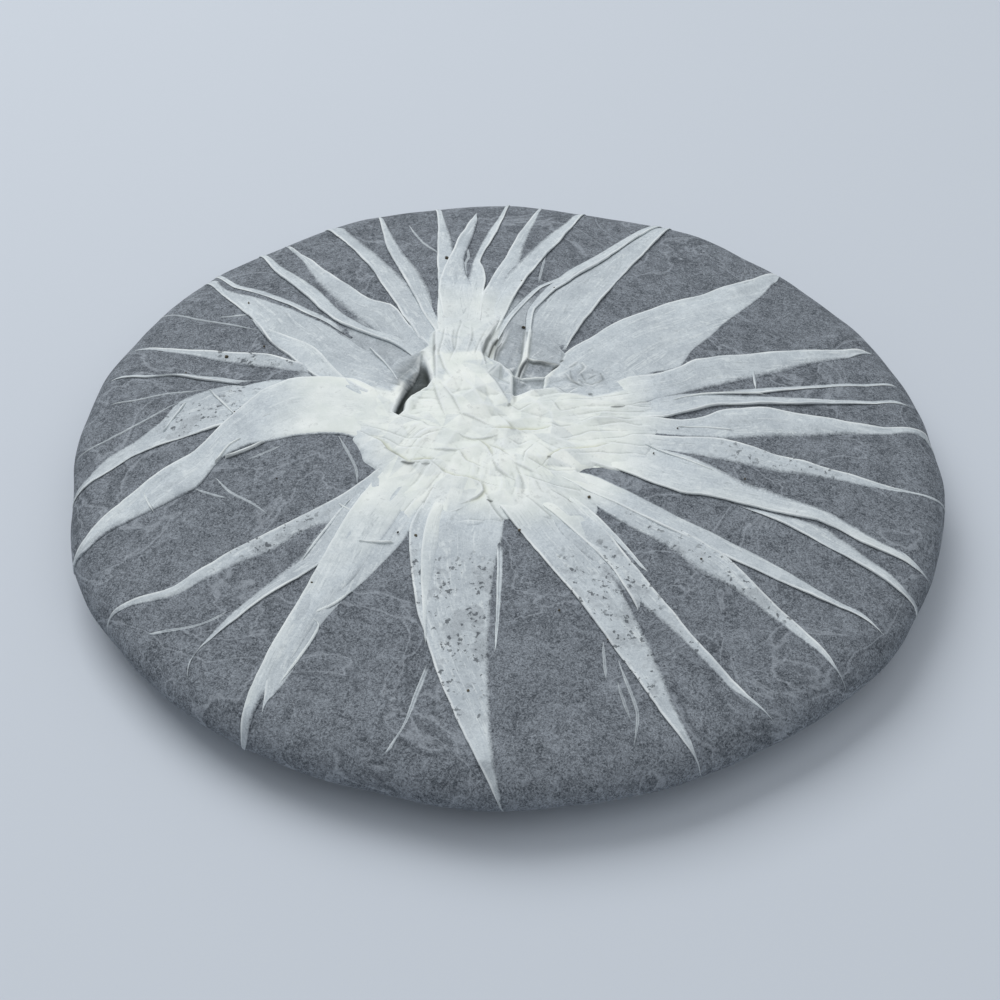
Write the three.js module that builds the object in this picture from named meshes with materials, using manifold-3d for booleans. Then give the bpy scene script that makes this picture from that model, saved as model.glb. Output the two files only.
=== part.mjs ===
// A raw tea cake in its inner tissue. The pressed disc lies on its front face, and the thin paper round
// it is pleated over the back to the middle, where its gathered end is twisted into a bulb and tucked in
// the hollow. Millimetres, +Z up, origin in the middle of the flat spot that the cake rests on.
import * as THREE from 'three';
import { mergeVertices } from 'three/addons/utils/BufferGeometryUtils.js';
import Module from 'manifold-3d';

const wasm = await Module();
wasm.setup();

// Driving dimensions of the wrapped cake
const RADIUS = 100;
const RIM_HEIGHT = 10.5;
const SHOULDER_RADIUS = 88;
const SHOULDER_HEIGHT = 18;
const CREST_RADIUS = 34;
const CREST_HEIGHT = 24;
const UNDERSIDE_RADIUS = 84;
const UNDERSIDE_HEIGHT = 3;
const FOOT_RADIUS = 55;

// The paper, the clearance under it, and the pressed hollow in the middle of the back
const PAPER = 0.6;
const CLEARANCE = 0.3;
const HOLLOW_RADIUS = 25;
const HOLLOW_DEPTH = 9;

// The gathered paper that fills the hollow: its folds are two sets of radial waves, twisted opposite ways
const GATHER_RADIUS = 31;
const GATHER_FLOOR = 16;
const GATHER_DIP = 1.2;
const GATHER_TWIST = 1.1;
const GATHER_FOLDS = [{ count: 9, height: 1.1, lean: 1 }, { count: 14, height: 0.66, lean: -1 }];
const GATHER_CALM_RADIUS = 6;
const GATHER_SEAT = 0.3;
const GATHER_RINGS = 7;
const GATHER_TURNS = 48;

// The twisted bulb, off the middle towards the back left
const BULB_CENTRE = new THREE.Vector3(-7.5, 7.5, 21.5);
const BULB_SIZE = new THREE.Vector3(9.4, 8.8, 6.6);
const BULB_TURN = THREE.MathUtils.degToRad(-25);

// The open crevice between the left bundle and the bulb, as a path of [angle in degrees, radius]. It is
// narrowest at its two ends, and opens into the hollow under the gather.
const CREVICE = [[170, 24.5], [156, 23.5], [143, 25.5], [134, 28.5]];
const CREVICE_WIDTH = 3.4;
const CREVICE_NARROWEST = 0.45;
const CREVICE_STEPS = 6;
const CREVICE_FLOOR = 12;
const CREVICE_CEILING = 34;

// Height of a pleat over the paper, and how far its underside sinks into it
const PLEAT_RISE = 0.7;
const PLEAT_SINK = 0.35;

// Steps along a pleat, crowded towards its tip, where the rim curves
const PLEAT_STEPS = 7;
const PLEAT_CROWDING = 1.5;

// Steps of the turned surfaces outside and inside the paper: round the axis, round the rim, over the back
const OUTSIDE = { turns: 64, arc: 5, dome: 4 };
const INSIDE = { turns: 40, arc: 3, dome: 2 };
const HOLLOW_STEPS = 4;

// Where the hand-wrapped rim swells or flattens: [angle in degrees, millimetres outwards, half width]
const RIM_SWELLS = [
  [188, -1.4, 8], [205, 0.8, 9], [251, -0.8, 9], [270, 0.5, 8], [302, -0.7, 10], [325, 0.6, 10],
  [350, 0.7, 12], [37, -0.7, 9], [60, 0.8, 9], [76, -0.7, 7], [105, 0.5, 12], [139, 1.0, 9],
];

// The pleats, anticlockwise from +X: where the tip and the root of each lie, and its width at the tip,
// halfway and at the root. Angles are in degrees, radii and widths in millimetres.
const PLEATS = [
  { tip: [3, 98], root: [0.5, 36], width: [1.5, 7.5, 12] },
  { tip: [9.6, 97], root: [9.5, 36], width: [0.8, 2.4, 5.3] },
  { tip: [13.4, 96], root: [12.9, 48], width: [0.6, 1.6, 2.8] },
  { tip: [21.5, 95], root: [20, 34], width: [1.2, 7.2, 10.5] },
  { tip: [44, 97], root: [40, 32], width: [3.5, 14, 20] },
  { tip: [65.3, 96], root: [72, 33], width: [2, 11, 11] },
  { tip: [67.5, 93], root: [91, 31], width: [1, 3, 3.6] },
  { tip: [78.8, 97], root: [91, 40], width: [0.8, 3.7, 3] },
  { tip: [85, 98], root: [99, 34], width: [1, 3.2, 4] },
  { tip: [90.5, 98], root: [103, 36], width: [1, 3, 4.5] },
  { tip: [97, 89], root: [103, 45], width: [0.8, 2.2, 3] },
  { tip: [100.5, 97], root: [111, 34], width: [2, 6.5, 7.5] },
  { tip: [110.2, 98], root: [114.5, 38], width: [1, 4.2, 5] },
  { tip: [117, 98], root: [121.5, 34], width: [2.5, 6.2, 5] },
  { tip: [126.5, 97], root: [128, 34], width: [0.8, 5.5, 8] },
  { tip: [130.7, 98], root: [137.5, 48], width: [0.8, 2.2, 2.2] },
  { tip: [139, 98], root: [138, 50], width: [0.8, 1.2, 1.2] },
  { tip: [140, 98], root: [147, 34], width: [1.5, 11.5, 14] },
  { tip: [160.5, 96], root: [159, 42], width: [0.8, 4.2, 3.6] },
  { tip: [165.5, 96], root: [167, 42], width: [0.8, 2.2, 2.6] },
  { tip: [189.7, 98], root: [176, 34], width: [1.5, 9, 9] },
  { tip: [200.5, 98], root: [183, 34], width: [2.5, 7.5, 7] },
  { tip: [214.5, 98], root: [218, 38], width: [1, 4.4, 5] },
  { tip: [219.2, 95], root: [225, 80], width: [0.7, 1.1, 1.3] },
  { tip: [227.5, 96], root: [226, 46], width: [0.8, 3.8, 5] },
  { tip: [239, 98], root: [234, 36], width: [1.5, 7, 12] },
  { tip: [256, 95.5], root: [258, 74], width: [0.7, 1.2, 1.4] },
  { tip: [270, 98], root: [256, 34], width: [1.5, 12.5, 18] },
  { tip: [293.1, 98], root: [283, 33], width: [2, 8, 11] },
  { tip: [303.7, 97], root: [300, 40], width: [0.8, 3.4, 4] },
  { tip: [315, 98], root: [312.5, 34], width: [0.8, 4.6, 8] },
  { tip: [324, 96], root: [320, 36], width: [0.8, 4, 5] },
  { tip: [332, 98], root: [333, 57], width: [1.2, 5.5, 1.6] },
  { tip: [337.2, 98], root: [338.5, 34], width: [1.2, 5.3, 11] },
  { tip: [351, 98], root: [349, 40], width: [0.8, 4, 8] },
];

const UP = new THREE.Vector3(0, 0, 1);

const tissueMaterial = new THREE.MeshStandardMaterial({ color: 0xb4bec6, roughness: 0.8, metalness: 0 });
const teaMaterial = new THREE.MeshStandardMaterial({ color: 0x3a342c, roughness: 0.9, metalness: 0 });

// Height of the wrapped cake's back at a distance from the axis, before the gather and the pleats
function backHeight(r) {
  if (r > SHOULDER_RADIUS) {
    const out = Math.min((r - SHOULDER_RADIUS) / (RADIUS - SHOULDER_RADIUS), 1);
    return RIM_HEIGHT + (SHOULDER_HEIGHT - RIM_HEIGHT) * Math.sqrt(1 - out * out);
  }
  if (r > CREST_RADIUS) {
    const climb = (SHOULDER_RADIUS - r) / (SHOULDER_RADIUS - CREST_RADIUS);
    return SHOULDER_HEIGHT + (CREST_HEIGHT - SHOULDER_HEIGHT) * Math.sin((climb * Math.PI) / 2);
  }
  return CREST_HEIGHT;
}

// A point a given height over the back, along the surface's own normal
function overBack(x, y, height) {
  const reach = 0.25;
  const r = Math.min(Math.hypot(x, y), RADIUS - reach);
  const slope = (backHeight(r + reach) - backHeight(r - reach)) / (2 * reach);
  const outward = new THREE.Vector3(x, y, 0).normalize();
  const point = outward.clone().multiplyScalar(r).setZ(backHeight(r));
  return point.addScaledVector(outward.multiplyScalar(-slope).add(UP).normalize(), height);
}

function polar(angle, r) {
  const turn = THREE.MathUtils.degToRad(angle);
  return new THREE.Vector2(r * Math.cos(turn), r * Math.sin(turn));
}

// The half section from the middle of the underside, round the rim and over the back to the axis, set in by
// the given distance. A hollow depth presses the middle of the back in.
function section(inset, hollowDepth, { arc, dome }) {
  const points = [new THREE.Vector2(0, inset), new THREE.Vector2(FOOT_RADIUS, inset)];
  const under = new THREE.Vector2(RADIUS - UNDERSIDE_RADIUS, RIM_HEIGHT - UNDERSIDE_HEIGHT);
  for (let i = 0; i <= arc; i += 1) {
    const turn = ((i / arc) * Math.PI) / 2;
    const r = UNDERSIDE_RADIUS + under.x * Math.sin(turn) - inset;
    points.push(new THREE.Vector2(r, RIM_HEIGHT - under.y * Math.cos(turn) + inset * Math.cos(turn)));
  }
  const over = new THREE.Vector2(RADIUS - SHOULDER_RADIUS, SHOULDER_HEIGHT - RIM_HEIGHT);
  for (let i = 1; i <= arc; i += 1) {
    const turn = ((i / arc) * Math.PI) / 2;
    const r = SHOULDER_RADIUS + over.x * Math.cos(turn) - inset;
    points.push(new THREE.Vector2(r, RIM_HEIGHT + over.y * Math.sin(turn) - inset * Math.sin(turn)));
  }
  for (let i = 1; i <= dome; i += 1) {
    const r = THREE.MathUtils.lerp(SHOULDER_RADIUS, CREST_RADIUS, i / dome);
    points.push(new THREE.Vector2(r, backHeight(r) - inset));
  }
  if (hollowDepth > 0) {
    for (let i = 0; i < HOLLOW_STEPS; i += 1) {
      const turn = (i / HOLLOW_STEPS) * Math.PI;
      const r = HOLLOW_RADIUS * (1 - i / HOLLOW_STEPS);
      const sunk = (hollowDepth * (1 - Math.cos(turn))) / 2;
      points.push(new THREE.Vector2(r, CREST_HEIGHT - inset - sunk));
    }
  }
  points.push(new THREE.Vector2(0, CREST_HEIGHT - inset - hollowDepth));
  return points;
}

function turned(points, turns) {
  return new THREE.LatheGeometry(points, turns).rotateX(Math.PI / 2);
}

// A boolean solid from a closed geometry, without the slivers that a lathe leaves on its axis
function solid(geometry) {
  geometry.deleteAttribute('normal');
  geometry.deleteAttribute('uv');
  const merged = mergeVertices(geometry, 1e-4);
  const index = merged.index.array;
  const triangles = [];
  for (let i = 0; i < index.length; i += 3) {
    const [a, b, c] = [index[i], index[i + 1], index[i + 2]];
    if (a !== b && b !== c && c !== a) {
      triangles.push(a, b, c);
    }
  }
  const vertProperties = new Float32Array(merged.attributes.position.array);
  const mesh = new wasm.Mesh({ numProp: 3, vertProperties, triVerts: new Uint32Array(triangles) });
  mesh.merge();
  return new wasm.Manifold(mesh);
}

function geometryOf(body) {
  const mesh = body.getMesh();
  const geometry = new THREE.BufferGeometry();
  geometry.setAttribute('position', new THREE.BufferAttribute(new Float32Array(mesh.vertProperties), 3));
  geometry.setIndex(new THREE.BufferAttribute(new Uint32Array(mesh.triVerts), 1));
  return geometry;
}

// A closed bar through rings of four corners each
function bar(rings) {
  const corners = rings.flat();
  const index = [0, 1, 2, 0, 2, 3];
  for (let i = 0; i + 1 < rings.length; i += 1) {
    for (let k = 0; k < 4; k += 1) {
      const a = 4 * i + k;
      const b = 4 * i + ((k + 1) % 4);
      index.push(a, b + 4, b, a, a + 4, b + 4);
    }
  }
  const end = 4 * (rings.length - 1);
  index.push(end, end + 2, end + 1, end, end + 3, end + 2);
  const geometry = new THREE.BufferGeometry().setFromPoints(corners);
  geometry.setIndex(index);
  return geometry;
}

// One pleat: a thin strip that lies on the back from its tip at the rim to its root at the gather
function pleat({ tip, root, width }) {
  const start = polar(...tip);
  const finish = polar(...root);
  const across = finish.clone().sub(start).normalize().rotateAround(new THREE.Vector2(), Math.PI / 2);
  const rings = [];
  for (let i = 0; i <= PLEAT_STEPS; i += 1) {
    const along = (i / PLEAT_STEPS) ** PLEAT_CROWDING;
    const middle = start.clone().lerp(finish, along);
    const outerHalf = THREE.MathUtils.lerp(width[0], width[1], Math.min(1, 2 * along));
    const half = THREE.MathUtils.lerp(outerHalf, width[2], Math.max(0, 2 * along - 1)) / 2;
    const left = middle.clone().addScaledVector(across, half);
    const right = middle.clone().addScaledVector(across, -half);
    rings.push([
      overBack(left.x, left.y, -PLEAT_SINK),
      overBack(right.x, right.y, -PLEAT_SINK),
      overBack(right.x, right.y, PLEAT_RISE),
      overBack(left.x, left.y, PLEAT_RISE),
    ]);
  }
  return solid(bar(rings));
}

// Height of the gather's top: it dips to the middle, and its folds fade out at its edge and on the axis
function gatherHeight(x, y) {
  const r = Math.hypot(x, y);
  const inward = Math.max(0, 1 - r / GATHER_RADIUS);
  const fade = Math.min(1, 4 * inward) * Math.min(1, r / GATHER_CALM_RADIUS);
  let height = CREST_HEIGHT - GATHER_SEAT * (1 - inward) - GATHER_DIP * Math.sqrt(inward);
  for (const { count, height: rise, lean } of GATHER_FOLDS) {
    height += rise * fade * Math.sin(count * (Math.atan2(y, x) + lean * GATHER_TWIST * inward));
  }
  return height;
}

// The gathered paper: a low mound with folds that run in to the middle and twist a little as they do
function gather() {
  const profile = [new THREE.Vector2(0, GATHER_FLOOR), new THREE.Vector2(GATHER_RADIUS, GATHER_FLOOR)];
  for (let i = 0; i <= GATHER_RINGS; i += 1) {
    profile.push(new THREE.Vector2(GATHER_RADIUS * (1 - i / GATHER_RINGS), CREST_HEIGHT));
  }
  const geometry = turned(profile, GATHER_TURNS);
  const position = geometry.attributes.position;
  for (let i = 0; i < position.count; i += 1) {
    if (position.getZ(i) > GATHER_FLOOR + 1) {
      position.setZ(i, gatherHeight(position.getX(i), position.getY(i)));
    }
  }
  return solid(geometry);
}

// The bulb: a smooth rounded wad, widest across its turned axis
function bulb() {
  const geometry = new THREE.SphereGeometry(1, 20, 12);
  geometry.rotateX(Math.PI / 2);
  geometry.scale(BULB_SIZE.x, BULB_SIZE.y, BULB_SIZE.z);
  geometry.rotateZ(BULB_TURN);
  geometry.translate(BULB_CENTRE.x, BULB_CENTRE.y, BULB_CENTRE.z);
  return solid(geometry);
}

// The crevice: an upright slot along its path, wider in the middle than at its ends
function crevice() {
  const rings = [];
  const path = new THREE.SplineCurve(CREVICE.map(([angle, r]) => polar(angle, r)));
  for (let i = 0; i <= CREVICE_STEPS; i += 1) {
    const along = i / CREVICE_STEPS;
    const middle = path.getPoint(along);
    const across = path.getTangent(along).rotateAround(new THREE.Vector2(), Math.PI / 2);
    const open = THREE.MathUtils.lerp(CREVICE_NARROWEST, 1, Math.sin(Math.PI * along));
    const left = middle.clone().addScaledVector(across, (open * CREVICE_WIDTH) / 2);
    const right = middle.clone().addScaledVector(across, (-open * CREVICE_WIDTH) / 2);
    rings.push([
      new THREE.Vector3(left.x, left.y, CREVICE_FLOOR),
      new THREE.Vector3(right.x, right.y, CREVICE_FLOOR),
      new THREE.Vector3(right.x, right.y, CREVICE_CEILING),
      new THREE.Vector3(left.x, left.y, CREVICE_CEILING),
    ]);
  }
  return solid(bar(rings));
}

// Moves a solid's rim in and out a little, as a cake pressed and wrapped by hand has it
function handMade(geometry) {
  const position = geometry.attributes.position;
  for (let i = 0; i < position.count; i += 1) {
    const x = position.getX(i);
    const y = position.getY(i);
    const r = Math.hypot(x, y);
    const angle = THREE.MathUtils.radToDeg(Math.atan2(y, x));
    let swell = 0;
    for (const [at, out, half] of RIM_SWELLS) {
      const away = THREE.MathUtils.euclideanModulo(angle - at + 180, 360) - 180;
      swell += out * Math.exp(-((away / half) ** 2));
    }
    const grow = 1 + (swell / RADIUS) * (r / RADIUS) ** 4;
    position.setXY(i, x * grow, y * grow);
  }
  return geometry;
}

function tissueWrap() {
  const outside = solid(turned(section(0, 0, OUTSIDE), OUTSIDE.turns));
  const inside = solid(turned(section(PAPER, HOLLOW_DEPTH, INSIDE), INSIDE.turns));
  let body = outside.add(gather());
  for (const each of PLEATS) {
    body = body.add(pleat(each));
  }
  body = body.add(bulb()).subtract(inside).subtract(crevice());
  return geometryOf(body);
}

function teaCake() {
  return geometryOf(solid(turned(section(PAPER + CLEARANCE, HOLLOW_DEPTH, INSIDE), INSIDE.turns)));
}

function sub(name, geometry, material) {
  const mesh = new THREE.Mesh(handMade(geometry), material);
  mesh.name = name;
  return mesh;
}

const cake = new THREE.Group();
cake.add(sub('tea_cake', teaCake(), teaMaterial));
cake.add(sub('tissue_wrap', tissueWrap(), tissueMaterial));

export default cake;
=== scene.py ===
import math

import bpy
import numpy as np
from mathutils import Matrix, Vector, geometry


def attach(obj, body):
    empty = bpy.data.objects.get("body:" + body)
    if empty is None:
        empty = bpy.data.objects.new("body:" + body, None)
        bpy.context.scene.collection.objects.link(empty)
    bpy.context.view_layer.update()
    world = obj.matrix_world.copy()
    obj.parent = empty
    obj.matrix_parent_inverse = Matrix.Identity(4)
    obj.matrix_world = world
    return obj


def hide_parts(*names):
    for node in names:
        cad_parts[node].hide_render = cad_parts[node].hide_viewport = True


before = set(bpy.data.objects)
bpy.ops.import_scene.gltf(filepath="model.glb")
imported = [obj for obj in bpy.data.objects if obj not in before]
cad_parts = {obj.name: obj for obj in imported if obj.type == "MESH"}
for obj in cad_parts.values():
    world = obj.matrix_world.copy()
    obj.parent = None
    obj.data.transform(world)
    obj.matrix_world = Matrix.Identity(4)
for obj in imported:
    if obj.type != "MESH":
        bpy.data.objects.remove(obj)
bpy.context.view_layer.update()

# A raw tea cake in its thin inner tissue, which is pleated over the cake's back and gathered in the middle.
# Sizes are in millimetres and angles in degrees, anticlockwise from +X; meshes are written in metres.
MM = 0.001

# The wrapped cake's half section
RADIUS = 100.0
RIM_HEIGHT = 10.5
SHOULDER_RADIUS, SHOULDER_HEIGHT = 88.0, 18.0
CREST_RADIUS, CREST_HEIGHT = 34.0, 24.0
UNDERSIDE_RADIUS, UNDERSIDE_HEIGHT = 84.0, 3.0
FOOT_RADIUS = 55.0
UNDER_ARC = 19.0

# Where the hand-wrapped rim swells or flattens: angle, outwards, half width
RIM_SWELLS = [
    (188, -1.4, 8), (205, 0.8, 9), (251, -0.8, 9), (270, 0.5, 8), (302, -0.7, 10), (325, 0.6, 10),
    (350, 0.7, 12), (37, -0.7, 9), (60, 0.8, 9), (76, -0.7, 7), (105, 0.5, 12), (139, 1.0, 9),
]


# Shapes of lines and surfaces


def smoothstep(low, high, value):
    share = np.clip((np.asarray(value, float) - low) / (high - low), 0, 1)
    return share * share * (3 - 2 * share)


def triangle_wave(phase):
    """Runs from -1 to 1 and back in straight lines, as folded paper does."""
    return 2 * np.abs(2 * (phase / (2 * math.pi) % 1) - 1) - 1


def ripple(x, y, wavelength, seed, waves=7, shape=np.sin):
    """An even, patternless waviness between about -1 and 1, from a few waves in seeded directions."""
    draw = np.random.default_rng(seed)
    total = np.zeros(np.broadcast(x, y).shape)
    for _ in range(waves):
        heading = draw.uniform(0, 2 * math.pi)
        length = wavelength * draw.uniform(0.7, 1.5)
        phase = draw.uniform(0, 2 * math.pi)
        total += shape(2 * math.pi * (x * math.cos(heading) + y * math.sin(heading)) / length + phase)
    return total / math.sqrt(waves)


def smooth_path(points, stations, kinks=0.0):
    """Points on a smooth line through a few given ones, at stations between 0 and 1 of its length.

    With kinks of 1 it is straight from each given point to the next."""
    knots = np.array(points, float)
    reach = np.concatenate([[0], np.cumsum(np.linalg.norm(np.diff(knots, axis=0), axis=1))])
    slopes = np.gradient(knots, reach, axis=0)
    at = np.asarray(stations) * reach[-1]
    i = np.clip(np.searchsorted(reach, at, side="right") - 1, 0, len(reach) - 2)
    span = (reach[i + 1] - reach[i])[:, None]
    u = (at - reach[i])[:, None] / span
    start = knots[i] * (2 * u**3 - 3 * u**2 + 1) + slopes[i] * span * (u**3 - 2 * u**2 + u)
    smooth = start + knots[i + 1] * (3 * u**2 - 2 * u**3) + slopes[i + 1] * span * (u**3 - u**2)
    return smooth + kinks * (knots[i] * (1 - u) + knots[i + 1] * u - smooth)


def back_height(r):
    """Height of the cake's back at a distance from its axis."""
    out = np.clip((r - SHOULDER_RADIUS) / (RADIUS - SHOULDER_RADIUS), 0, 1)
    shoulder = RIM_HEIGHT + (SHOULDER_HEIGHT - RIM_HEIGHT) * np.sqrt(1 - out**2)
    climb = np.clip((SHOULDER_RADIUS - r) / (SHOULDER_RADIUS - CREST_RADIUS), 0, 1)
    dome = SHOULDER_HEIGHT + (CREST_HEIGHT - SHOULDER_HEIGHT) * np.sin(climb * math.pi / 2)
    return np.where(r > SHOULDER_RADIUS, shoulder, dome)


def section(t):
    """Distance from the axis and height, for a distance t outwards over the back and, past the rim, under it."""
    turn = np.clip((t - RADIUS) / UNDER_ARC, 0, 1) * math.pi / 2
    under_r = UNDERSIDE_RADIUS + (RADIUS - UNDERSIDE_RADIUS) * np.cos(turn)
    under_z = RIM_HEIGHT - (RIM_HEIGHT - UNDERSIDE_HEIGHT) * np.sin(turn)
    flat = t - RADIUS - UNDER_ARC
    foot_r = np.clip(UNDERSIDE_RADIUS - flat, 0, None)
    foot_z = UNDERSIDE_HEIGHT * np.clip((foot_r - FOOT_RADIUS) / (UNDERSIDE_RADIUS - FOOT_RADIUS), 0, 1) ** 1.3
    r = np.where(t <= RADIUS, t, np.where(flat <= 0, under_r, foot_r))
    z = np.where(t <= RADIUS, back_height(np.minimum(t, RADIUS)), np.where(flat <= 0, under_z, foot_z))
    return r, z


def on_wrap(t, angle, lift=0.0):
    """Points on the wrapped cake, or lifted off it: t as in section, angle in radians."""
    step = 0.2
    r, z = section(t)
    r_in, z_in = section(t - step)
    r_out, z_out = section(np.where(t < RADIUS, np.minimum(t + step, RADIUS), t + step))
    length = np.hypot(r_out - r_in, z_out - z_in)
    normal_r, normal_z = -(z_out - z_in) / length, (r_out - r_in) / length
    swell = np.zeros(np.broadcast(t, angle).shape)
    for at, out, half in RIM_SWELLS:
        away = (np.degrees(angle) - at + 180) % 360 - 180
        swell = swell + out * np.exp(-((away / half) ** 2))
    x, y = r * np.cos(angle), r * np.sin(angle)
    on_foot = smoothstep(FOOT_RADIUS + 4, FOOT_RADIUS + 20, r) + (t < RADIUS)
    uneven = 0.22 * ripple(x, y, 34, 5) + 0.07 * ripple(x, y, 11, 8)
    lift = lift + uneven * np.clip(on_foot, 0, 1)
    grow = 1 + swell / RADIUS * (r / RADIUS) ** 4
    reach = (r + normal_r * lift) * grow
    return np.stack([reach * np.cos(angle), reach * np.sin(angle), z + normal_z * lift], -1)


# Making meshes


def deselect():
    if bpy.context.object and bpy.context.object.mode != "OBJECT":
        bpy.ops.object.mode_set(mode="OBJECT")
    bpy.ops.object.select_all(action="DESELECT")


def added(name):
    """The object that an operator has just added, named."""
    piece = bpy.context.object
    piece.name = name
    piece.data.name = name
    return piece


def grid(name, columns, rows):
    """A flat grid, and where each of its points lies in it as column and row."""
    deselect()
    bpy.ops.mesh.primitive_grid_add(x_subdivisions=columns - 1, y_subdivisions=rows - 1, size=1)
    piece = added(name)
    flat = np.empty(3 * len(piece.data.vertices))
    piece.data.vertices.foreach_get("co", flat)
    flat = flat.reshape(-1, 3) + 0.5
    return piece, np.rint(flat[:, 0] * (columns - 1)).astype(int), np.rint(flat[:, 1] * (rows - 1)).astype(int)


def shape(piece, points, **marks):
    """Moves a mesh's points, given in millimetres, and writes a number on each of them for every mark."""
    mesh = piece.data
    mesh.vertices.foreach_set("co", np.ascontiguousarray(points * MM, dtype=np.float32).ravel())
    for name, values in marks.items():
        layer = mesh.attributes.new(name, "FLOAT", "POINT")
        layer.data.foreach_set("value", np.ascontiguousarray(np.broadcast_to(values, len(points)), np.float32))
    mesh.update()


def flow_map(piece, across, along):
    """A UV map that runs across and along a strip, in centimetres."""
    mesh = piece.data
    corners = np.empty(len(mesh.loops), dtype=np.int32)
    mesh.loops.foreach_get("vertex_index", corners)
    while mesh.uv_layers:
        mesh.uv_layers.remove(mesh.uv_layers[0])
    layer = mesh.uv_layers.new(name="flow")
    layer.data.foreach_set("uv", np.stack([across[corners], along[corners]], -1).astype(np.float32).ravel())


def join(name, pieces):
    deselect()
    for piece in pieces:
        piece.select_set(True)
    bpy.context.view_layer.objects.active = pieces[0]
    bpy.ops.object.join()
    return added(name)


def apply(piece, kind, **settings):
    """Adds a modifier to a piece and applies it."""
    deselect()
    piece.select_set(True)
    bpy.context.view_layer.objects.active = piece
    modifier = piece.modifiers.new(kind.title(), kind)
    for key, value in settings.items():
        setattr(modifier, key, value)
    bpy.ops.object.modifier_apply(modifier=modifier.name)


def finished(piece, material, node):
    """Smooths a piece, gives it its material and ties it to the frame."""
    deselect()
    piece.select_set(True)
    bpy.context.view_layer.objects.active = piece
    bpy.ops.object.shade_smooth()
    piece.data.materials.clear()
    piece.data.materials.append(material)
    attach(piece, "root")
    if node:
        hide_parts(node)


# The sheet: the single layer of tissue on the cake, over its back, round the rim and under it

SHEET_TURNS = 400


def tissue_sheet():
    back = np.linspace(0.5, 86, 80)
    shoulder = SHOULDER_RADIUS + (RADIUS - SHOULDER_RADIUS) * np.sin(np.linspace(0, math.pi / 2, 16))
    under = RADIUS + np.linspace(1.5, UNDER_ARC, 12)
    foot = RADIUS + UNDER_ARC + np.linspace(2, UNDERSIDE_RADIUS - 0.5, 26)
    stations = np.concatenate([back, shoulder, under, foot])
    piece, column, row = grid("tissue_sheet", SHEET_TURNS + 1, len(stations))
    angle = 2 * math.pi * (column % SHEET_TURNS) / SHEET_TURNS
    t = stations[row]
    points = on_wrap(t, angle)
    around, height = np.degrees(angle), points[:, 2]
    # Below the rim the tissue hangs a little clear of the tea, and so looks paler
    clear = smoothstep(101, 108, t) * (0.30 + 0.12 * np.sin(5 * angle + 1) + 0.1 * np.sin(13 * angle))
    # It is sunk under the crevice in the gather, out of sight
    points[:, 2] -= np.where(t < 40, smoothstep(-1.5, -0.5, within(points[:, 0], points[:, 1], CREVICE)), 0)
    shape(piece, points, layers=clear, fade=1.0)
    flow_map(piece, around / 10, t / 10)
    deselect()
    piece.select_set(True)
    bpy.ops.object.mode_set(mode="EDIT")
    bpy.ops.mesh.select_all(action="SELECT")
    bpy.ops.mesh.remove_doubles(threshold=1e-6)
    bpy.ops.mesh.select_all(action="DESELECT")
    bpy.ops.mesh.select_mode(type="EDGE")
    bpy.ops.mesh.select_non_manifold()
    bpy.ops.mesh.edge_face_add()
    bpy.ops.mesh.select_all(action="SELECT")
    bpy.ops.mesh.normals_make_consistent(inside=False)
    bpy.ops.object.mode_set(mode="OBJECT")
    return piece


# The pleats, from the right anticlockwise. Each lies between its folded edge and the edge where it fades into the
# sheet, both as (angle, distance from the axis) from the tip inwards.

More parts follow.
